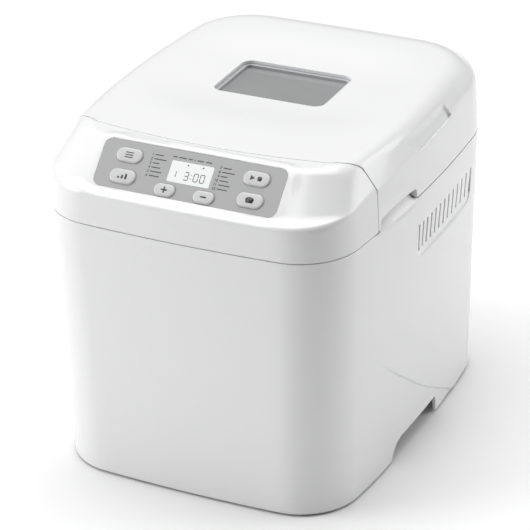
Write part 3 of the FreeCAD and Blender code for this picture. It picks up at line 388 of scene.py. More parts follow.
BOTTOM = outline(115.8, FRONT + 6.9, REAR - 14.2, 2.0, 2.0, 45, 45)
SEAM = outline(HALF, FRONT, REAR, 200.0, 200.0, 44, 71)
COVER_BELT = outline(118.6, FRONT, REAR - 3, 225.0, 236.0, 44, 70)
COVER_LEDGE = outline(116.8, FRONT + 8.5, REAR - 8, 227.3, 239.0, 42, 66)
LID_BELT = outline(118.6, FRONT, REAR - 3, 227.3, 242.3, 44, 70)
CREASE = outline(110.5, -121.5, 119.0, 252.3, 256.5, 46, 40, 12, 2.7, 2.4, 1.5)
print("each ring has", len(SEAM), "vertices")


# %% Growing a skin from rings
def lerp_ring(low, high, share):
    return [a.lerp(b, share) for a, b in zip(low, high)]


def start_ring(bm, spots):
    ring = bmesh.ops.create_circle(bm, segments=len(spots), radius=1)["verts"]
    for vertex, spot in zip(ring, spots):
        vertex.co = spot
    return ring


def grow(bm, ring, spots):
    """Extrude a ring of vertices and set the copies on new spots."""
    edges = [bm.edges.get(pair) for pair in zip(ring, ring[1:] + ring[:1])]
    made = bmesh.ops.extrude_edge_only(bm, edges=edges)["geom"]
    fresh = {v for v in made if isinstance(v, bmesh.types.BMVert)}
    copies = [next(e.other_vert(v) for e in v.link_edges if e.other_vert(v) in fresh) for v in ring]
    for vertex, spot in zip(copies, spots):
        vertex.co = spot
    return copies


def skin(rings):
    bm = bmesh.new()
    ring = start_ring(bm, rings[0])
    for spots in rings[1:]:
        ring = grow(bm, ring, spots)
    return bm


def soft_profile(levels, reaches, steps, fillet=6):
    """Rings through the levels; each inner level is rounded off over its reach in millimetres."""
    rings = [levels[0]]
    last = levels[0]
    for k in range(1, len(levels) - 1):
        before, here, after = levels[k - 1], levels[k], levels[k + 1]
        into, out = [], []
        for a, p, b in zip(before, here, after):
            reach = reaches[k - 1](p)
            into.append(p + (a - p).normalized() * min(reach, (a - p).length * 0.45))
            out.append(p + (b - p).normalized() * min(reach, (b - p).length * 0.45))
        rings += [lerp_ring(last, into, i / steps[k - 1]) for i in range(1, steps[k - 1] + 1)]
        for i in range(1, fillet + 1):
            t = i / fillet
            first, second = lerp_ring(into, here, t), lerp_ring(here, out, t)
            rings.append(lerp_ring(first, second, t))
        last = out
    rings += [lerp_ring(last, levels[-1], i / steps[-1]) for i in range(1, steps[-1] + 1)]
    return rings


print("halfway up, the front stands at y", round(lerp_ring(BOTTOM, SEAM, 0.5)[0].y, 1))


# %% [markdown]
# ## Cutting an outline into a skin
# Slots, notches and the split between lid and cover are all convex outlines. A cookie cutter made of
# plane cuts leaves clean edges: each side of the outline bisects only the faces that are still inside.


# %% A cookie cutter made of plane cuts
def faces_near(bm, low, high):
    return [f for f in bm.faces
            if all(a <= c <= b for a, c, b in zip(low, f.calc_center_median(), high))]


def flank(side, front, rear, low, high, inner=90):
    """The two corners of a box round one side wall."""
    x0, x1 = sorted((side * inner, side * 130))
    return (x0, front, low), (x1, rear, high)


def cookie(bm, faces, points, axis):
    """Cut a convex outline, seen along axis, into the faces and give back those inside it."""
    points = [Vector(p) for p in points]
    axis = Vector(axis)
    middle = sum(points, Vector()) / len(points)
    inside = list(faces)
    for p, q in zip(points, points[1:] + points[:1]):
        normal = (q - p).cross(axis).normalized()
        if normal.dot(middle - p) > 0:
            normal = -normal
        edges = dict.fromkeys(e for f in inside for e in f.edges)
        verts = dict.fromkeys(v for f in inside for v in f.verts)
        geom = [*inside, *edges, *verts]
        made = bmesh.ops.bisect_plane(bm, geom=geom, dist=1e-4, plane_co=p, plane_no=normal)["geom"]
        inside = [f for f in made if isinstance(f, bmesh.types.BMFace)
                  and (f.calc_center_median() - p).dot(normal) < 0]
    return inside


def cut_away(bm, faces):
    bmesh.ops.delete(bm, geom=faces, context="FACES")


def round_box(u, v, width, height, radius, steps=5):
    """The corners of a rounded rectangle in a plane, as a closed list of pairs."""
    spots = []
    for su, sv, turn in ((1, -1, -90), (1, 1, 0), (-1, 1, 90), (-1, -1, 180)):
        for i in range(steps + 1):
            a = math.radians(turn + 90 * i / steps)
            spots.append((u + su * (width / 2 - radius) + radius * math.cos(a),
                          v + sv * (height / 2 - radius) + radius * math.sin(a)))
    return spots


def smooth(low, high, value):
    t = min(max((value - low) / (high - low), 0.0), 1.0)
    return t * t * (3 - 2 * t)


print("a quarter of the way along, smooth gives", smooth(0, 1, 0.25))


# %% [markdown]
# ## From a skin to a moulded wall
# An injection-moulded casing is a wall of even thickness. Solidify gives the open skin that wall,
# including the sides of every slot, and a small bevel takes the sharpness off each rim.


# %% From a skin to a moulded wall
def face_outwards(bm):
    """Turn the faces of an open skin outwards: the one furthest right must look right."""
    bmesh.ops.recalc_face_normals(bm, faces=bm.faces)
    rightmost = max(bm.faces, key=lambda f: f.calc_center_median().x)
    if rightmost.normal.x < 0:
        bmesh.ops.reverse_faces(bm, faces=bm.faces)


ORDER = Vector((1.0, 41.3, 1709.7))


def settle(bm):
    """Sort everything by its place, so that each run gives the same mesh."""
    bm.verts.sort(key=lambda v: v.co.dot(ORDER))
    bm.edges.sort(key=lambda e: (e.verts[0].co + e.verts[1].co).dot(ORDER))
    bm.faces.sort(key=lambda f: f.calc_center_median().dot(ORDER))


def piece(name, bm, material, body, wall=0.0, edge=0.0, replaces=()):
    if wall:
        settle(bm)
    bmesh.ops.remove_doubles(bm, verts=bm.verts, dist=0.05)
    bmesh.ops.dissolve_degenerate(bm, edges=bm.edges, dist=0.05)
    settle(bm)
    if wall:
        face_outwards(bm)
    bmesh.ops.scale(bm, vec=(0.001, 0.001, 0.001), verts=bm.verts)
    for face in bm.faces:
        face.smooth = True
    mesh = bpy.data.meshes.new(name)
    bm.to_mesh(mesh)
    bm.free()
    for finish in material if isinstance(material, list) else [material]:
        mesh.materials.append(finish)
    made = bpy.data.objects.new(name, mesh)
    bpy.context.scene.collection.objects.link(made)
    if wall:
        thicken = made.modifiers.new("wall", "SOLIDIFY")
        thicken.thickness = wall / 1000
        thicken.offset = -1.0
    if edge:
        soften = made.modifiers.new("edge", "BEVEL")
        soften.width = edge / 1000
        soften.segments = 2
        soften.limit_method = "ANGLE"
        soften.angle_limit = math.radians(50)
        soften.use_clamp_overlap = False
        shade = made.modifiers.new("shade", "WEIGHTED_NORMAL")
        shade.keep_sharp = True
    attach(made, body)
    if replaces:
        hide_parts(*replaces)
    print(name, len(mesh.vertices), "vertices")
    return made


# %% [markdown]
# ## The body
# One tall moulding with bowed sides. Under the lid's finger grip its wall leans in and runs up as a
# ramp, and an arch between the feet gives the hands a hold. The rings are close together where the ramp
# bends and wide apart below.

# %% The body's skin
BODY_FOOT, BODY_TOP = 2.0, 199.5
DISH_FOOT = 188.0         # close rings from here up
WIDE_RINGS, CLOSE_RINGS = 22, 14
GRIP_Y, GRIP_HALF = -52.5, 28.5
RAMP_IN, RAMP_UP = 8.6, 7.0
SEAM_SAG, SEAM_SAG_Y = 0.7, -86


def body_skin():
    heights = [BODY_FOOT + (DISH_FOOT - BODY_FOOT) * i / WIDE_RINGS for i in range(WIDE_RINGS + 1)]
    heights += [DISH_FOOT + (BODY_TOP - DISH_FOOT) * i / CLOSE_RINGS for i in range(1, CLOSE_RINGS + 1)]
    return skin([lerp_ring(BOTTOM, SEAM, (z - BODY_FOOT) / (SEAM[0].z - BODY_FOOT)) for z in heights])


def finger_ramp(bm, side):
    """The wall leans inwards and runs up into the lid's notch; the seam sags a little in front of it."""
    for vertex in bm.verts:
        x, y, z = vertex.co
        if side * x > 90 and z > DISH_FOOT:
            along = (y - GRIP_Y) / GRIP_HALF
            foot = BODY_TOP - 3.0 - 5.0 * max(0.0, 1 - along ** 2)
            climb = max(0.0, (z - foot) / (BODY_TOP - foot))
            vertex.co.x -= side * RAMP_IN * climb ** 2.5 * math.exp(-(along / 0.97) ** 16)
            vertex.co.z += RAMP_UP * climb ** 2 * math.exp(-(along / 0.93) ** 24)
            vertex.co.z -= SEAM_SAG * math.exp(-((y - SEAM_SAG_Y) / 4) ** 2) * smooth(196, BODY_TOP, z)


print("ramp", 2 * GRIP_HALF, "mm long, leaning in by", RAMP_IN, "mm")


# %% The arch on each side and the openings at the rear
ARCH = [(-52, -5), (-51, 4.5), (-47, 10), (-43, 13.4), (-36, 15.5), (27, 15.5), (32, -5)]
RECESS_HALF, RECESS_FOOT = 88, 186
CORD_X, CORD_Z, CORD_R = -58, 34, 7


def side_arch(bm, side):
    near = faces_near(bm, *flank(side, -70, 50, 0, 30, inner=60))
    cut_away(bm, cookie(bm, near, [(0, y, z) for y, z in ARCH], (1, 0, 0)))


def rear_openings(bm):
    """The recess for the hinge, and the round hole for the cord's grommet."""
    wall = faces_near(bm, (-130, 90, 160), (130, 170, 210))
    corners = ((-1, RECESS_FOOT), (1, RECESS_FOOT), (1, 215), (-1, 215))
    cut_away(bm, cookie(bm, wall, [(side * RECESS_HALF, 0, z) for side, z in corners], (0, 1, 0)))
    turns = [i * math.pi / 12 for i in range(24)]
    hole = [(CORD_X + CORD_R * math.cos(a), 0, CORD_Z + CORD_R * math.sin(a)) for a in turns]
    wall = faces_near(bm, (-80, 100, 15), (-35, 170, 55))
    cut_away(bm, cookie(bm, wall, hole, (0, 1, 0)))


print("arch", ARCH[-1][0] - ARCH[0][0], "mm long, hinge recess", 2 * RECESS_HALF, "mm wide")

# %% [markdown]
# ## Air slots
# Warm air leaves through a row of slots whose spacing grows towards the rear. They stand in a field that
# is sunk a little at its lower edge, so a fine line shows there and fades out upwards.

# %% The air slots and their shallow field
SLOTS = [-18.0 + 7.0 * i + 0.14 * i ** 2 for i in range(13)]
SLOT_HALF, SLOT_FOOT, SLOT_HEAD = 1.1, 157, 176.5
FIELD_SINK = 0.8


def vent_field(bm, side):
    field = [(0, y, z) for y, z in round_box(32, 165, 108, 29, 6)]
    inside = cookie(bm, faces_near(bm, *flank(side, -40, 105, 140, 190)), field, (1, 0, 0))
    bmesh.ops.inset_region(bm, faces=inside, thickness=0.7, depth=0.0, use_even_offset=True)
    for vertex in {v for f in inside for v in f.verts}:
        fade = 1 - smooth(158, 176, vertex.co.z)
        fade *= smooth(-22, -8, vertex.co.y)
        vertex.co.x -= side * FIELD_SINK * fade
    for y in SLOTS:
        front, rear = y - SLOT_HALF, y + SLOT_HALF
        near = faces_near(bm, *flank(side, y - 8, y + 8, 148, 186))
        slot = [(0, front, SLOT_FOOT), (0, rear, SLOT_FOOT), (0, rear, SLOT_HEAD), (0, front, SLOT_HEAD)]
        cut_away(bm, cookie(bm, near, slot, (1, 0, 0)))


print(len(SLOTS), "slots on each side, over", round(SLOTS[-1] - SLOTS[0]), "mm")

# %% [markdown]
# ## The sweeping step
# A long curve falls from the front corner to the rear foot. It is carved as two close cuts along one
# line, and everything below the lower cut is pushed in, so the strip between them becomes the step.

# %% The sweeping step on each side
SWEEP = [(-92, 107.5), (-84, 101), (-70, 90), (-57, 80.2), (-44, 70.5), (-26.5, 57.6), (-5.5, 43.3),
         (10, 33.8), (24, 25.7), (40, 16.8), (57, 7.6), (70, 0.8)]
STEP_RISE, STEP_DEPTH = 1.5, 0.9


def sweep_height(y):
    for (y0, z0), (y1, z1) in zip(SWEEP, SWEEP[1:]):
        if y <= y1:
            return z0 + (z1 - z0) * (y - y0) / (y1 - y0)
    return -100.0


def sweep_step(bm, side):
    front, rear = SWEEP[0][0], SWEEP[-1][0]
    for drop in (0.0, STEP_RISE):
        curve = [(0, y, z - drop) for y, z in SWEEP]
        near = faces_near(bm, *flank(side, front, rear, 0, 125))
        cookie(bm, near, curve + [(0, rear, 140), (0, front, 140)], (1, 0, 0))
    for vertex in bm.verts:
        x, y, z = vertex.co
        if side * x > 60 and front < y < rear - 1 and z < sweep_height(y) - 1.2:
            fade = smooth(-88, -40, y) * smooth(0, 8, sweep_height(y) + 6 - z) * smooth(69.5, 60, y)
            vertex.co.x -= side * STEP_DEPTH * fade


print("the step falls from", SWEEP[0][1], "to", SWEEP[-1][1], "mm")

# %% Making the body
body = body_skin()
for hand in (-1, 1):
    finger_ramp(body, hand)
    side_arch(body, hand)
    vent_field(body, hand)
    sweep_step(body, hand)
rear_openings(body)
casing = piece("body_casing", body, FINISHES["casing"], "housing", wall=2.6, edge=0.35,
               replaces=["body_shell"])

# %% [markdown]
# ## Screw posts
# Thin walls can't hold a screw, so round posts stand inside the mouldings where the screws go: four in
# the body for the base plate, and four in the lid for its inner dish.


# %% Screw posts
def posts(places, low, high, radius):
    bm = bmesh.new()
    for x, y in places:
        bmesh.ops.create_cone(bm, cap_ends=True, segments=32, radius1=radius, radius2=radius,
                              depth=high - low, matrix=Matrix.Translation((x, y, (low + high) / 2)))
    return bm


BODY_POSTS = [(x, y) for x in (-105.5, 105.5) for y in (-70.0, 50.0)]
LID_POSTS = [(x, y) for x in (-100.0, 100.0) for y in (-66.0, 88.0)]
piece("body_posts", posts(BODY_POSTS, 20.1, 44.0, 6.5), FINISHES["casing"], "housing", edge=0.3)
piece("lid_posts", posts(LID_POSTS, 202.5, 238.0, 3.4), FINISHES["casing"], "lid", edge=0.3)

# %% [markdown]
# ## The split between lid and cover
# Seen from above, the lid's front edge runs straight in from each side and then bulges forwards over the
# cover. Half of the narrow gap is taken from each of the two mouldings.

# %% The split between lid and cover
NOSE_SIDE = -84.5
NOSE = [(-116, NOSE_SIDE), (-103.5, -92.5), (-88, -100.5), (0, -108.5),
        (88, -100.5), (103.5, -92.5), (116, NOSE_SIDE)]
HALF_GAP = 0.3


def three_point_arc(p, q, r, count):
    """Points on the arc from p through q to r, without r."""
    (ax, ay), (bx, by), (cx, cy) = p, q, r
    a2, b2, c2 = ax ** 2 + ay ** 2, bx ** 2 + by ** 2, cx ** 2 + cy ** 2
    d = 2 * (ax * (by - cy) + bx * (cy - ay) + cx * (ay - by))
    ux = (a2 * (by - cy) + b2 * (cy - ay) + c2 * (ay - by)) / d
    uy = (a2 * (cx - bx) + b2 * (ax - cx) + c2 * (bx - ax)) / d
    return arc(Vector((ux, uy)), Vector(p), Vector(r), count)


def nose_faces(bm, shift):
    """Cut the split into a skin; gives the faces behind it, which are the lid's."""
    line = NOSE_SIDE + shift
    geom = bm.verts[:] + bm.edges[:] + bm.faces[:]
    bmesh.ops.bisect_plane(bm, geom=geom, dist=1e-4, plane_co=(0, line, 0), plane_no=(0, 1, 0))
    points = three_point_arc(*NOSE[0:3], 8) + three_point_arc(*NOSE[2:5], 28) + three_point_arc(*NOSE[4:7], 8)
    points.append(Vector(NOSE[-1]))
    curve = [(p.x, p.y + shift, 0) for p in points]
    nose = cookie(bm, faces_near(bm, (-130, -121, 228), (130, line, 260)), curve, (0, 0, 1))
    return [f for f in bm.faces if f.calc_center_median().y > line] + nose


print("the nose stands", NOSE_SIDE - NOSE[3][1], "mm in front of the lid's corners")

# %% [markdown]
# ## Walls along a cut
# A cut through a skin leaves a bare rim. Where the eye can look into the cut, as along the split and in
# the finger notch, the rim's edges are extruded inwards, so the plastic shows a real wall.

# %% Walls along the split
LIP = 8.0
SIDE_END, SLOPE_FOOT = 106, 232     # the wall below the lip spans the nose only


def open_edges(bm, wanted):
    """The rim's edges whose middle passes a test."""
    return [e for e in bm.edges if e.is_boundary and wanted((e.verts[0].co + e.verts[1].co) / 2)]


def extrude_rim(bm, rim):
    """Extrude edges of the rim; gives the new vertices and the new edges."""
    made = bmesh.ops.extrude_edge_only(bm, edges=rim)["geom"]
    edges = [e for e in made if isinstance(e, bmesh.types.BMEdge)]
    return [v for v in made if isinstance(v, bmesh.types.BMVert)], edges


def split_wall(bm, foot):
    """Turn the rim along the split inwards, square to the skin, and carry it down to the foot."""
    rim = open_edges(bm, lambda spot: spot.z > 200.7 and spot.y < -70)
    bm.normal_update()
    away = {tuple(v.co): v.normal.copy() for e in rim for v in e.verts}
    lip, edges = extrude_rim(bm, rim)
    for vertex in lip:
        vertex.co -= away[tuple(vertex.co)] * LIP
    hem = [e for e in edges if e.is_boundary
           and all(abs(v.co.x) < SIDE_END and v.co.z > SLOPE_FOOT for v in e.verts)]
    for vertex in extrude_rim(bm, hem)[0]:
        vertex.co.z = foot


print("split walls start with a lip of", LIP, "mm")

# %% [markdown]
# ## The top and its window
# The window is the innermost ring of the skin, so the rings run into it without a seam. The top sinks a
# few millimetres towards the window, which bends its reflections as on a real moulding.

# %% The top and its window
WINDOW_W, WINDOW_H, WINDOW_Y, WINDOW_R = 86.0, 58.0, 13.7, 8.0
TOP_FRONT, TOP_FRONT_Z = -121.5, 252.3
TOP_SLOPE = 4.2 / 240.5
DISH, DISH_REACH = 3.0, 58


def crease_reach(p):
    return 3.5 + 6.0 * smooth(-118, -92, p.y)


def top_height(y):
    """The height of the sloping top at one depth."""
    return TOP_FRONT_Z + TOP_SLOPE * (y - TOP_FRONT)


def window_ring():
    """The window's rounded opening, with one spot for each vertex of the crease."""
    centre = Vector((0, WINDOW_Y))
    inner = Vector((WINDOW_W / 2 - WINDOW_R, WINDOW_H / 2 - WINDOW_R))
    spots = []
    for p in CREASE:
        d = (p.to_2d() - centre).normalized()
        q = d * min(WINDOW_W / 2 / max(abs(d.x), 1e-6), WINDOW_H / 2 / max(abs(d.y), 1e-6))
        if abs(q.x) > inner.x and abs(q.y) > inner.y:
            c = Vector((math.copysign(inner.x, q.x), math.copysign(inner.y, q.y)))
            b = d.dot(c)
            q = d * (b + math.sqrt(b * b - c.length_squared + WINDOW_R ** 2))
        spot = centre + q
        spots.append(Vector((spot.x, spot.y, top_height(spot.y))))
    return spots


def dish_top(bm):
    """The top is faintly hollow: it sinks towards the window."""
    for vertex in bm.verts:
        x, y, z = vertex.co
        if z > 250:
            beside = max(abs(x) - WINDOW_W / 2 + WINDOW_R, 0)
            ahead = max(abs(y - WINDOW_Y) - WINDOW_H / 2 + WINDOW_R, 0)
            vertex.co.z -= DISH * (1 - smooth(0, DISH_REACH, math.hypot(beside, ahead) - WINDOW_R))


WINDOW = window_ring()
print("window opening", round(max(p.x for p in WINDOW) * 2), "mm wide")

# %% [markdown]
# ## The front cover
# The cover carries the sloping control panel. Its skin is opened for the panel film, and the plastic
# round the opening is drawn level with the film so that the two meet in one even line.

# %% The front cover
PANEL = Vector((0, -133.1, 239.75))
TILT = Matrix.Rotation(math.radians(45), 3, "X")
FILM_W, FILM_H, FILM_R = 136.8, 35.0, 6.0


def on_panel(u, v, w=0.0):
    return PANEL + TILT @ Vector((u, v, w))


def to_panel(spot):
    return TILT.inverted() @ (spot - PANEL)


def film_distance(u, v):
    """Distance outside the film's rounded outline."""
    du = max(abs(u) - (FILM_W / 2 - FILM_R), 0)
    dv = max(abs(v) - (FILM_H / 2 - FILM_R), 0)
    return math.hypot(du, dv) - FILM_R


def meeting(ring, target):
    """The ring, drawn over to another one towards the sides, where the cover runs level into the lid."""
    return [p.lerp(q, smooth(-150, -96, p.y)) for p, q in zip(ring, target)]


def front_cover():
    belt = meeting(COVER_BELT, [p - Vector((0, 0, 0.8)) for p in LID_BELT])
    ledge = meeting(COVER_LEDGE, lerp_ring(LID_BELT, CREASE, 0.05))
    levels = [[Vector((p.x, p.y, 200.1)) for p in SEAM], belt, ledge, CREASE, WINDOW]
    reaches = [lambda p: 4.0, lambda p: 3.6, crease_reach]
    bm = skin(soft_profile(levels, reaches, (6, 3, 12, 14)))
    cut_away(bm, nose_faces(bm, -HALF_GAP))
    face_outwards(bm)
    split_wall(bm, 200.6)
    slope = faces_near(bm, (-90, -156, 222), (90, -112, 256))
    frame_line = [on_panel(u, v) for u, v in round_box(0, 0, FILM_W + 0.2, FILM_H + 0.2, FILM_R)]
    cut_away(bm, cookie(bm, slope, frame_line, TILT @ Vector((0, 0, 1))))
    for vertex in bm.verts:
        u, v, w = to_panel(vertex.co)
        if abs(w) < 6 and abs(u) < 90 and abs(v) < 30:
            hold = 1 - smooth(0.3, 9.0, film_distance(u, v))
            vertex.co = on_panel(u, v, w + (0.12 - w) * hold)
    return bm


cover = piece("front_cover", front_cover(), FINISHES["casing"], "housing", wall=2.6, edge=0.3,
              replaces=["top_cover"])

# %% [markdown]
# ## The lid
# The lid's rings run from the seam over a crisp belt line and a broad soft shoulder to the window. A
# notch with a hollow above it takes the fingertips, and a shallow scoop is pressed into each shoulder.


# %% The finger notch
NOTCH_TOP, NOTCH_WALL = 207.5, 7.0


def lid_notch(bm, side):
    """An opening at the skirt's edge, a faint hollow round it, and walls that reach inwards."""
    opening = round_box(GRIP_Y, NOTCH_TOP - 10, 2 * GRIP_HALF, 20, 3.4)
    near = faces_near(bm, *flank(side, -100, 0, 195, 226))
    cut_away(bm, cookie(bm, near, [(0, y, z) for y, z in opening], (1, 0, 0)))
    for vertex in bm.verts:
        x, y, z = vertex.co
        if side * x > 90 and z < 226:
            bell = math.exp(-((y - GRIP_Y) / 24) ** 4) * math.exp(-((z - 207) / 7.5) ** 2)
            vertex.co.x -= side * 1.5 * bell
    rim = open_edges(bm, lambda spot: side * spot.x > 90 and 200.6 < spot.z < NOTCH_TOP + 0.5
                     and abs(spot.y - GRIP_Y) < GRIP_HALF + 0.2)
    for vertex in extrude_rim(bm, rim)[0]:
        vertex.co.x -= side * NOTCH_WALL


print("notch", 2 * GRIP_HALF, "mm long")

# %% The scoop in each shoulder
SCOOP = [(-35, 247.5), (-34, 245), (-21.6, 232.6), (-19, 231.5),
         (42, 235), (43.4, 236), (37.5, 246), (33, 249)]
SCOOP_MIDDLE = Vector((4, 240.5))
SCOOP_EDGE, SCOOP_DEPTH = 2.0, 2.0


def shoulder_scoop(bm, side):
    """Two nested outlines, with everything inside the inner one pushed in towards the lid."""
    faces = faces_near(bm, *flank(side, -60, 70, 225, 256, inner=80))
    for shrink in (0.0, SCOOP_EDGE):
        ring = []
        for y, z in SCOOP:
            spot = Vector((y, z))
            spot += (SCOOP_MIDDLE - spot).normalized() * shrink
            ring.append((0, spot.x, spot.y))
        faces = cookie(bm, faces, ring, (1, 0, 0))
    for vertex in {v for f in faces for v in f.verts}:
        depth = SCOOP_DEPTH * (1 - smooth(241, 247, vertex.co.z))
        vertex.co += Vector((-side * 0.92, 0, -0.39)) * depth


print("scoop", round(SCOOP[5][0] - SCOOP[0][0]), "mm long")


# %% The lid
def belt_reach(p):
    return 1.2 + 5.0 * smooth(-20, 70, p.y)


def lid_shell():
    levels = [[Vector((p.x, p.y, 200.5)) for p in SEAM], LID_BELT, CREASE, WINDOW]
    bm = skin(soft_profile(levels, [belt_reach, crease_reach], (9, 8, 14)))
    lid = set(nose_faces(bm, HALF_GAP))
    cut_away(bm, [f for f in bm.faces if f not in lid])
    face_outwards(bm)
    split_wall(bm, 202.6)
    dish_top(bm)
    for side in (-1, 1):
        lid_notch(bm, side)
        shoulder_scoop(bm, side)
    return bm


lid = piece("lid_casing", lid_shell(), FINISHES["casing"], "lid", wall=2.6, edge=0.3,
            replaces=["lid_shell"])

# %% [markdown]
# ## The hinge barrel
# A hinge turns on a pin inside a barrel. The barrel belongs to the lid, and a web carries it.


# %% The hinge barrel
BARREL_L, BARREL_R = 108, 7
PIN_Y, PIN_Z = 142, 200.5


def barrel():
    bm = bmesh.new()
    turn = Matrix.Translation((0, PIN_Y, PIN_Z)) @ Matrix.Rotation(math.pi / 2, 4, "Y")
    bmesh.ops.create_cone(bm, cap_ends=True, segments=48, radius1=BARREL_R, radius2=BARREL_R,
                          depth=BARREL_L, matrix=turn)
    web = bmesh.ops.create_cube(bm, size=1)["verts"]
    bmesh.ops.scale(bm, vec=(BARREL_L, 13.5, 6), verts=web)
    bmesh.ops.translate(bm, vec=(0, PIN_Y + 2.5, PIN_Z + 4.7), verts=web)
    return bm


piece("hinge_barrel", barrel(), FINISHES["casing"], "lid", edge=0.4)

# %% [markdown]
# ## The keys
# Each key is a pill with a soft crown. The symbol on it is a thin print that rides with the cap. Words
# are replaced by plain symbols: a list, a shade scale, plus, minus, a start triangle and a loaf.

# %% Ink and key caps
INK = plastic("print_ink", (0.07, 0.07, 0.075), 0.45, 0.05, cloud=0.15)
KEYS = {
    "menu": (-47.6, 7.2, 19.5, 10.4), "color": (-47.6, -8.4, 19.5, 10.4),
    "plus": (-14.6, -12.4, 15.6, 9.0), "minus": (14.6, -12.4, 15.6, 9.0),
    "start_stop": (47.6, 7.2, 19.5, 10.4), "loaf": (47.6, -8.4, 19.5, 10.4),
}
CAP_TOP = 1.2
KEY_FIT = 0.4             # the drawn caps fill their holes more closely than the checked ones


def plate(bm, pairs, low, high, material=0):
    """A flat plate on the panel from an outline of pairs, between two heights."""
    base = [bm.verts.new((u, v, low)) for u, v in pairs]
    face = bm.faces.new(base)
    made = bmesh.ops.extrude_face_region(bm, geom=[face])["geom"]
    top = [v for v in made if isinstance(v, bmesh.types.BMVert)]
    bmesh.ops.translate(bm, vec=(0, 0, high - low), verts=top)
    for f in {f for v in base + top for f in v.link_faces}:
        f.material_index = material
    return [f for f in made if isinstance(f, bmesh.types.BMFace)][0]


def bar(bm, u, v, width, height, low, high, material=0):
    plate(bm, round_box(u, v, width, height, min(width, height) * 0.3, 2), low, high, material)


def key_cap(bm, u, v, width, height):
    width, height = width + KEY_FIT, height + KEY_FIT
    top = plate(bm, round_box(u, v, width, height, height / 2 - 0.05, 10), -3.9, CAP_TOP)
    rim = list(top.edges)
    bmesh.ops.bevel(bm, geom=rim, offset=1.5, segments=5, profile=0.5, affect="EDGES", material=-1)


def symbol(bm, name, u, v):
    low, high = CAP_TOP - 0.02, CAP_TOP + 0.05
    if name == "menu":
        for k in (-1.7, 0, 1.7):
            bar(bm, u, v + k, 6.0, 0.7, low, high, 1)
    elif name == "color":
        for k, height in ((-2.7, 1.5), (0, 2.7), (2.7, 3.9)):
            bar(bm, u + k, v - 1.95 + height / 2, 1.5, height, low, high, 1)
    elif name in ("plus", "minus"):
        bar(bm, u, v, 4.6, 1.05, low, high, 1)
        if name == "plus":
            bar(bm, u, v, 1.05, 4.6, low, high + 0.01, 1)
    elif name == "start_stop":
        plate(bm, [(u - 4.3, v - 1.8), (u - 1.1, v), (u - 4.3, v + 1.8)], low, high, 1)
        bar(bm, u + 2.4, v, 3.2, 3.2, low, high, 1)
    else:
        crown = [(u + 3.1 * math.cos(math.radians(a)), v + 0.4 + 1.7 * math.sin(math.radians(a)))
                 for a in range(-15, 196, 15)]
        plate(bm, [(u + 2.5, v - 2.1)] + crown + [(u - 2.5, v - 2.1)], low, high, 1)


for name, (u, v, width, height) in KEYS.items():
    key = bmesh.new()
    key_cap(key, u, v, width, height)
    symbol(key, name, u, v)
    bmesh.ops.recalc_face_normals(key, faces=key.faces)
    bmesh.ops.transform(key, matrix=Matrix.Translation(PANEL) @ TILT.to_4x4(), verts=key.verts)
    piece("key_" + name, key, [FINISHES["button"], INK], "button_" + name,
          replaces=["button_" + name])

# %% [markdown]
# ## The display and the printed lists
# The display shows a programme number and a time in seven-segment digits. The lists beside it are the
# programme numbers, each with a short bar in place of words.

# %% Seven-segment digits
SEGMENTS = {"0": "abcdef", "1": "bc", "3": "abcdg"}
DIGIT_W, DIGIT_H, STROKE = 3.0, 5.6, 0.55


def segment(bm, u, v, length, upright, low, high):
    half, s = length / 2, STROKE / 2
    pairs = [(-half, 0), (-half + s, -s), (half - s, -s), (half, 0), (half - s, s), (-half + s, s)]
    if upright:
        pairs = [(-b, a) for a, b in pairs]
    plate(bm, [(u + a, v + b) for a, b in pairs], low, high)


def digit(bm, text, u, v, low, high, size=1.0):
    w, h = DIGIT_W * size, DIGIT_H * size
    places = {"a": (0, h / 2, 0), "g": (0, 0, 0), "d": (0, -h / 2, 0), "b": (w / 2, h / 4, 1),
              "c": (w / 2, -h / 4, 1), "f": (-w / 2, h / 4, 1), "e": (-w / 2, -h / 4, 1)}
    for key in SEGMENTS[text]:
        du, dv, upright = places[key]
        segment(bm, u + du, v + dv, (h / 2 if upright else w) - 0.25, upright, low, high)


print("digits that can be drawn:", *sorted(SEGMENTS))


# %% What the display shows
def display_marks():
    bm = bmesh.new()
    low, high = -0.02, 0.05
    digit(bm, "1", -11.6, 0.2, low, high, 0.8)
    digit(bm, "3", -2.6, 0.0, low, high)
    digit(bm, "0", 4.6, 0.0, low, high)
    digit(bm, "0", 9.4, 0.0, low, high)
    for v in (-1.2, 1.2):
        bar(bm, 0.9, v, 0.6, 0.6, low, high)
    for u in (-3.4, 8.0):
        plate(bm, [(u - 0.8, 7.3), (u, 8.5), (u + 0.8, 7.3)], low, high)
    return bm


# %% The printed lists
BAR_LENGTHS = (7.6, 6.2, 9.4, 5.0, 6.6, 8.6)
LINE_PITCH = 3.05


def panel_numbers():
    """The programme numbers as text made into a mesh, drawn on the panel."""
    bm = bmesh.new()
    for first, left, top in ((1, -33.0, 10.3), (7, 18.2, 9.6)):
        for line in range(6):
            curve = bpy.data.curves.new("number", "FONT")
            curve.body = str(first + line)
            curve.size = 2.7
            curve.extrude = 0.03
            curve.offset = 0.04
            curve.align_x = "RIGHT"
            shown = bpy.data.objects.new("number", curve)
            mesh = bpy.data.meshes.new_from_object(shown)
            mesh.transform(Matrix.Translation((left + 2.6, top - line * LINE_PITCH, 0.02)))
            bm.from_mesh(mesh)
            bpy.data.objects.remove(shown)
            bpy.data.meshes.remove(mesh)
            length = BAR_LENGTHS[(line + first) % 6]
            bar(bm, left + 3.6 + length / 2, top - line * LINE_PITCH + 0.95, length, 0.75, 0.0, 0.05)
    for u, length in ((-14.6, 3.4), (-8.9, 5.4), (-3.2, 3.2), (0.2, 0.9), (4.3, 4.6), (10.6, 4.6)):
        bar(bm, u, 12.2, length, 0.8, 0.0, 0.05)
    return bm


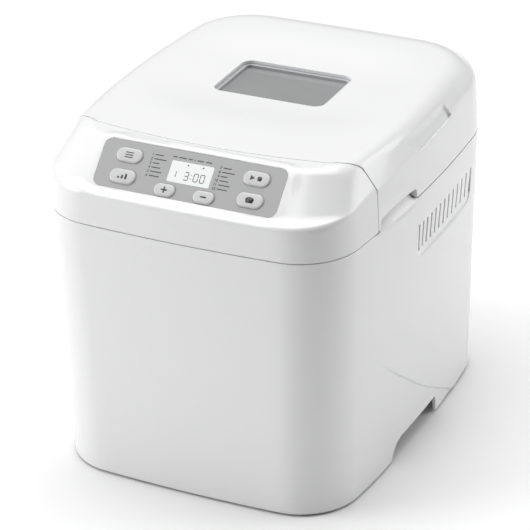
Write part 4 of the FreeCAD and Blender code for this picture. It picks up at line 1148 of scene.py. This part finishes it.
def lay_on_panel(bm):
    bmesh.ops.recalc_face_normals(bm, faces=bm.faces)
    bmesh.ops.transform(bm, matrix=Matrix.Translation(PANEL) @ TILT.to_4x4(), verts=bm.verts)
    return bm


piece("display_digits", lay_on_panel(display_marks()), INK, "housing")
piece("panel_print", lay_on_panel(panel_numbers()), INK, "housing")

# %% [markdown]
# ## Floor and light
# White plastic on a white floor is drawn by its reflections. Three broad soft boxes light it evenly, and
# a dark flag beside the front right corner gives that tall corner its soft grey stripe.


# %% Floor and light
def soft_box(name, spot, aim, width, height, power):
    lamp = bpy.data.lights.new(name, "AREA")
    lamp.shape = "RECTANGLE"
    lamp.size, lamp.size_y, lamp.energy = width, height, power
    holder = bpy.data.objects.new(name, lamp)
    bpy.context.scene.collection.objects.link(holder)
    holder.location = spot
    holder.rotation_mode = "QUATERNION"
    holder.rotation_quaternion = (Vector(aim) - Vector(spot)).to_track_quat("-Z", "Y")


def flat(name, size, matrix, material):
    bm = bmesh.new()
    bmesh.ops.create_grid(bm, x_segments=2, y_segments=2, size=size, matrix=matrix)
    mesh = bpy.data.meshes.new(name)
    bm.to_mesh(mesh)
    bm.free()
    mesh.materials.append(material)
    made = bpy.data.objects.new(name, mesh)
    bpy.context.scene.collection.objects.link(made)
    return made


flat("floor", 8.0, Matrix.Identity(4), plastic("floor_paper", (0.92, 0.92, 0.92), 0.75, 0.02, scale=60.0))
soft_box("key_left", (-2.3, -1.5, 1.1), (0, 0, 0.12), 1.6, 1.8, 48.0)
soft_box("overhead", (-0.25, 0.2, 2.6), (0, 0, 0), 2.6, 2.6, 74.0)
soft_box("side_right", (1.9, 1.4, 1.0), (0, 0, 0.12), 1.4, 1.6, 22.0)

upright = Matrix.Rotation(math.radians(60), 4, "Z") @ Matrix.Rotation(math.pi / 2, 4, "X")
hung = Matrix.Translation((0.76, -0.44, 0.42)) @ upright @ Matrix.Diagonal((0.7, 0.8, 1, 1))
flag = flat("dark_flag", 0.5, hung, plastic("flag_cloth", (0.03, 0.03, 0.03), 0.9, 0.1))
flag.visible_camera = False

world = bpy.data.worlds.new("studio")
bpy.context.scene.world = world
world.use_nodes = True
world.node_tree.nodes["Background"].inputs["Color"].default_value = (0.93, 0.94, 0.95, 1)
world.node_tree.nodes["Background"].inputs["Strength"].default_value = 0.15
bpy.context.scene.view_settings.view_transform = "Standard"
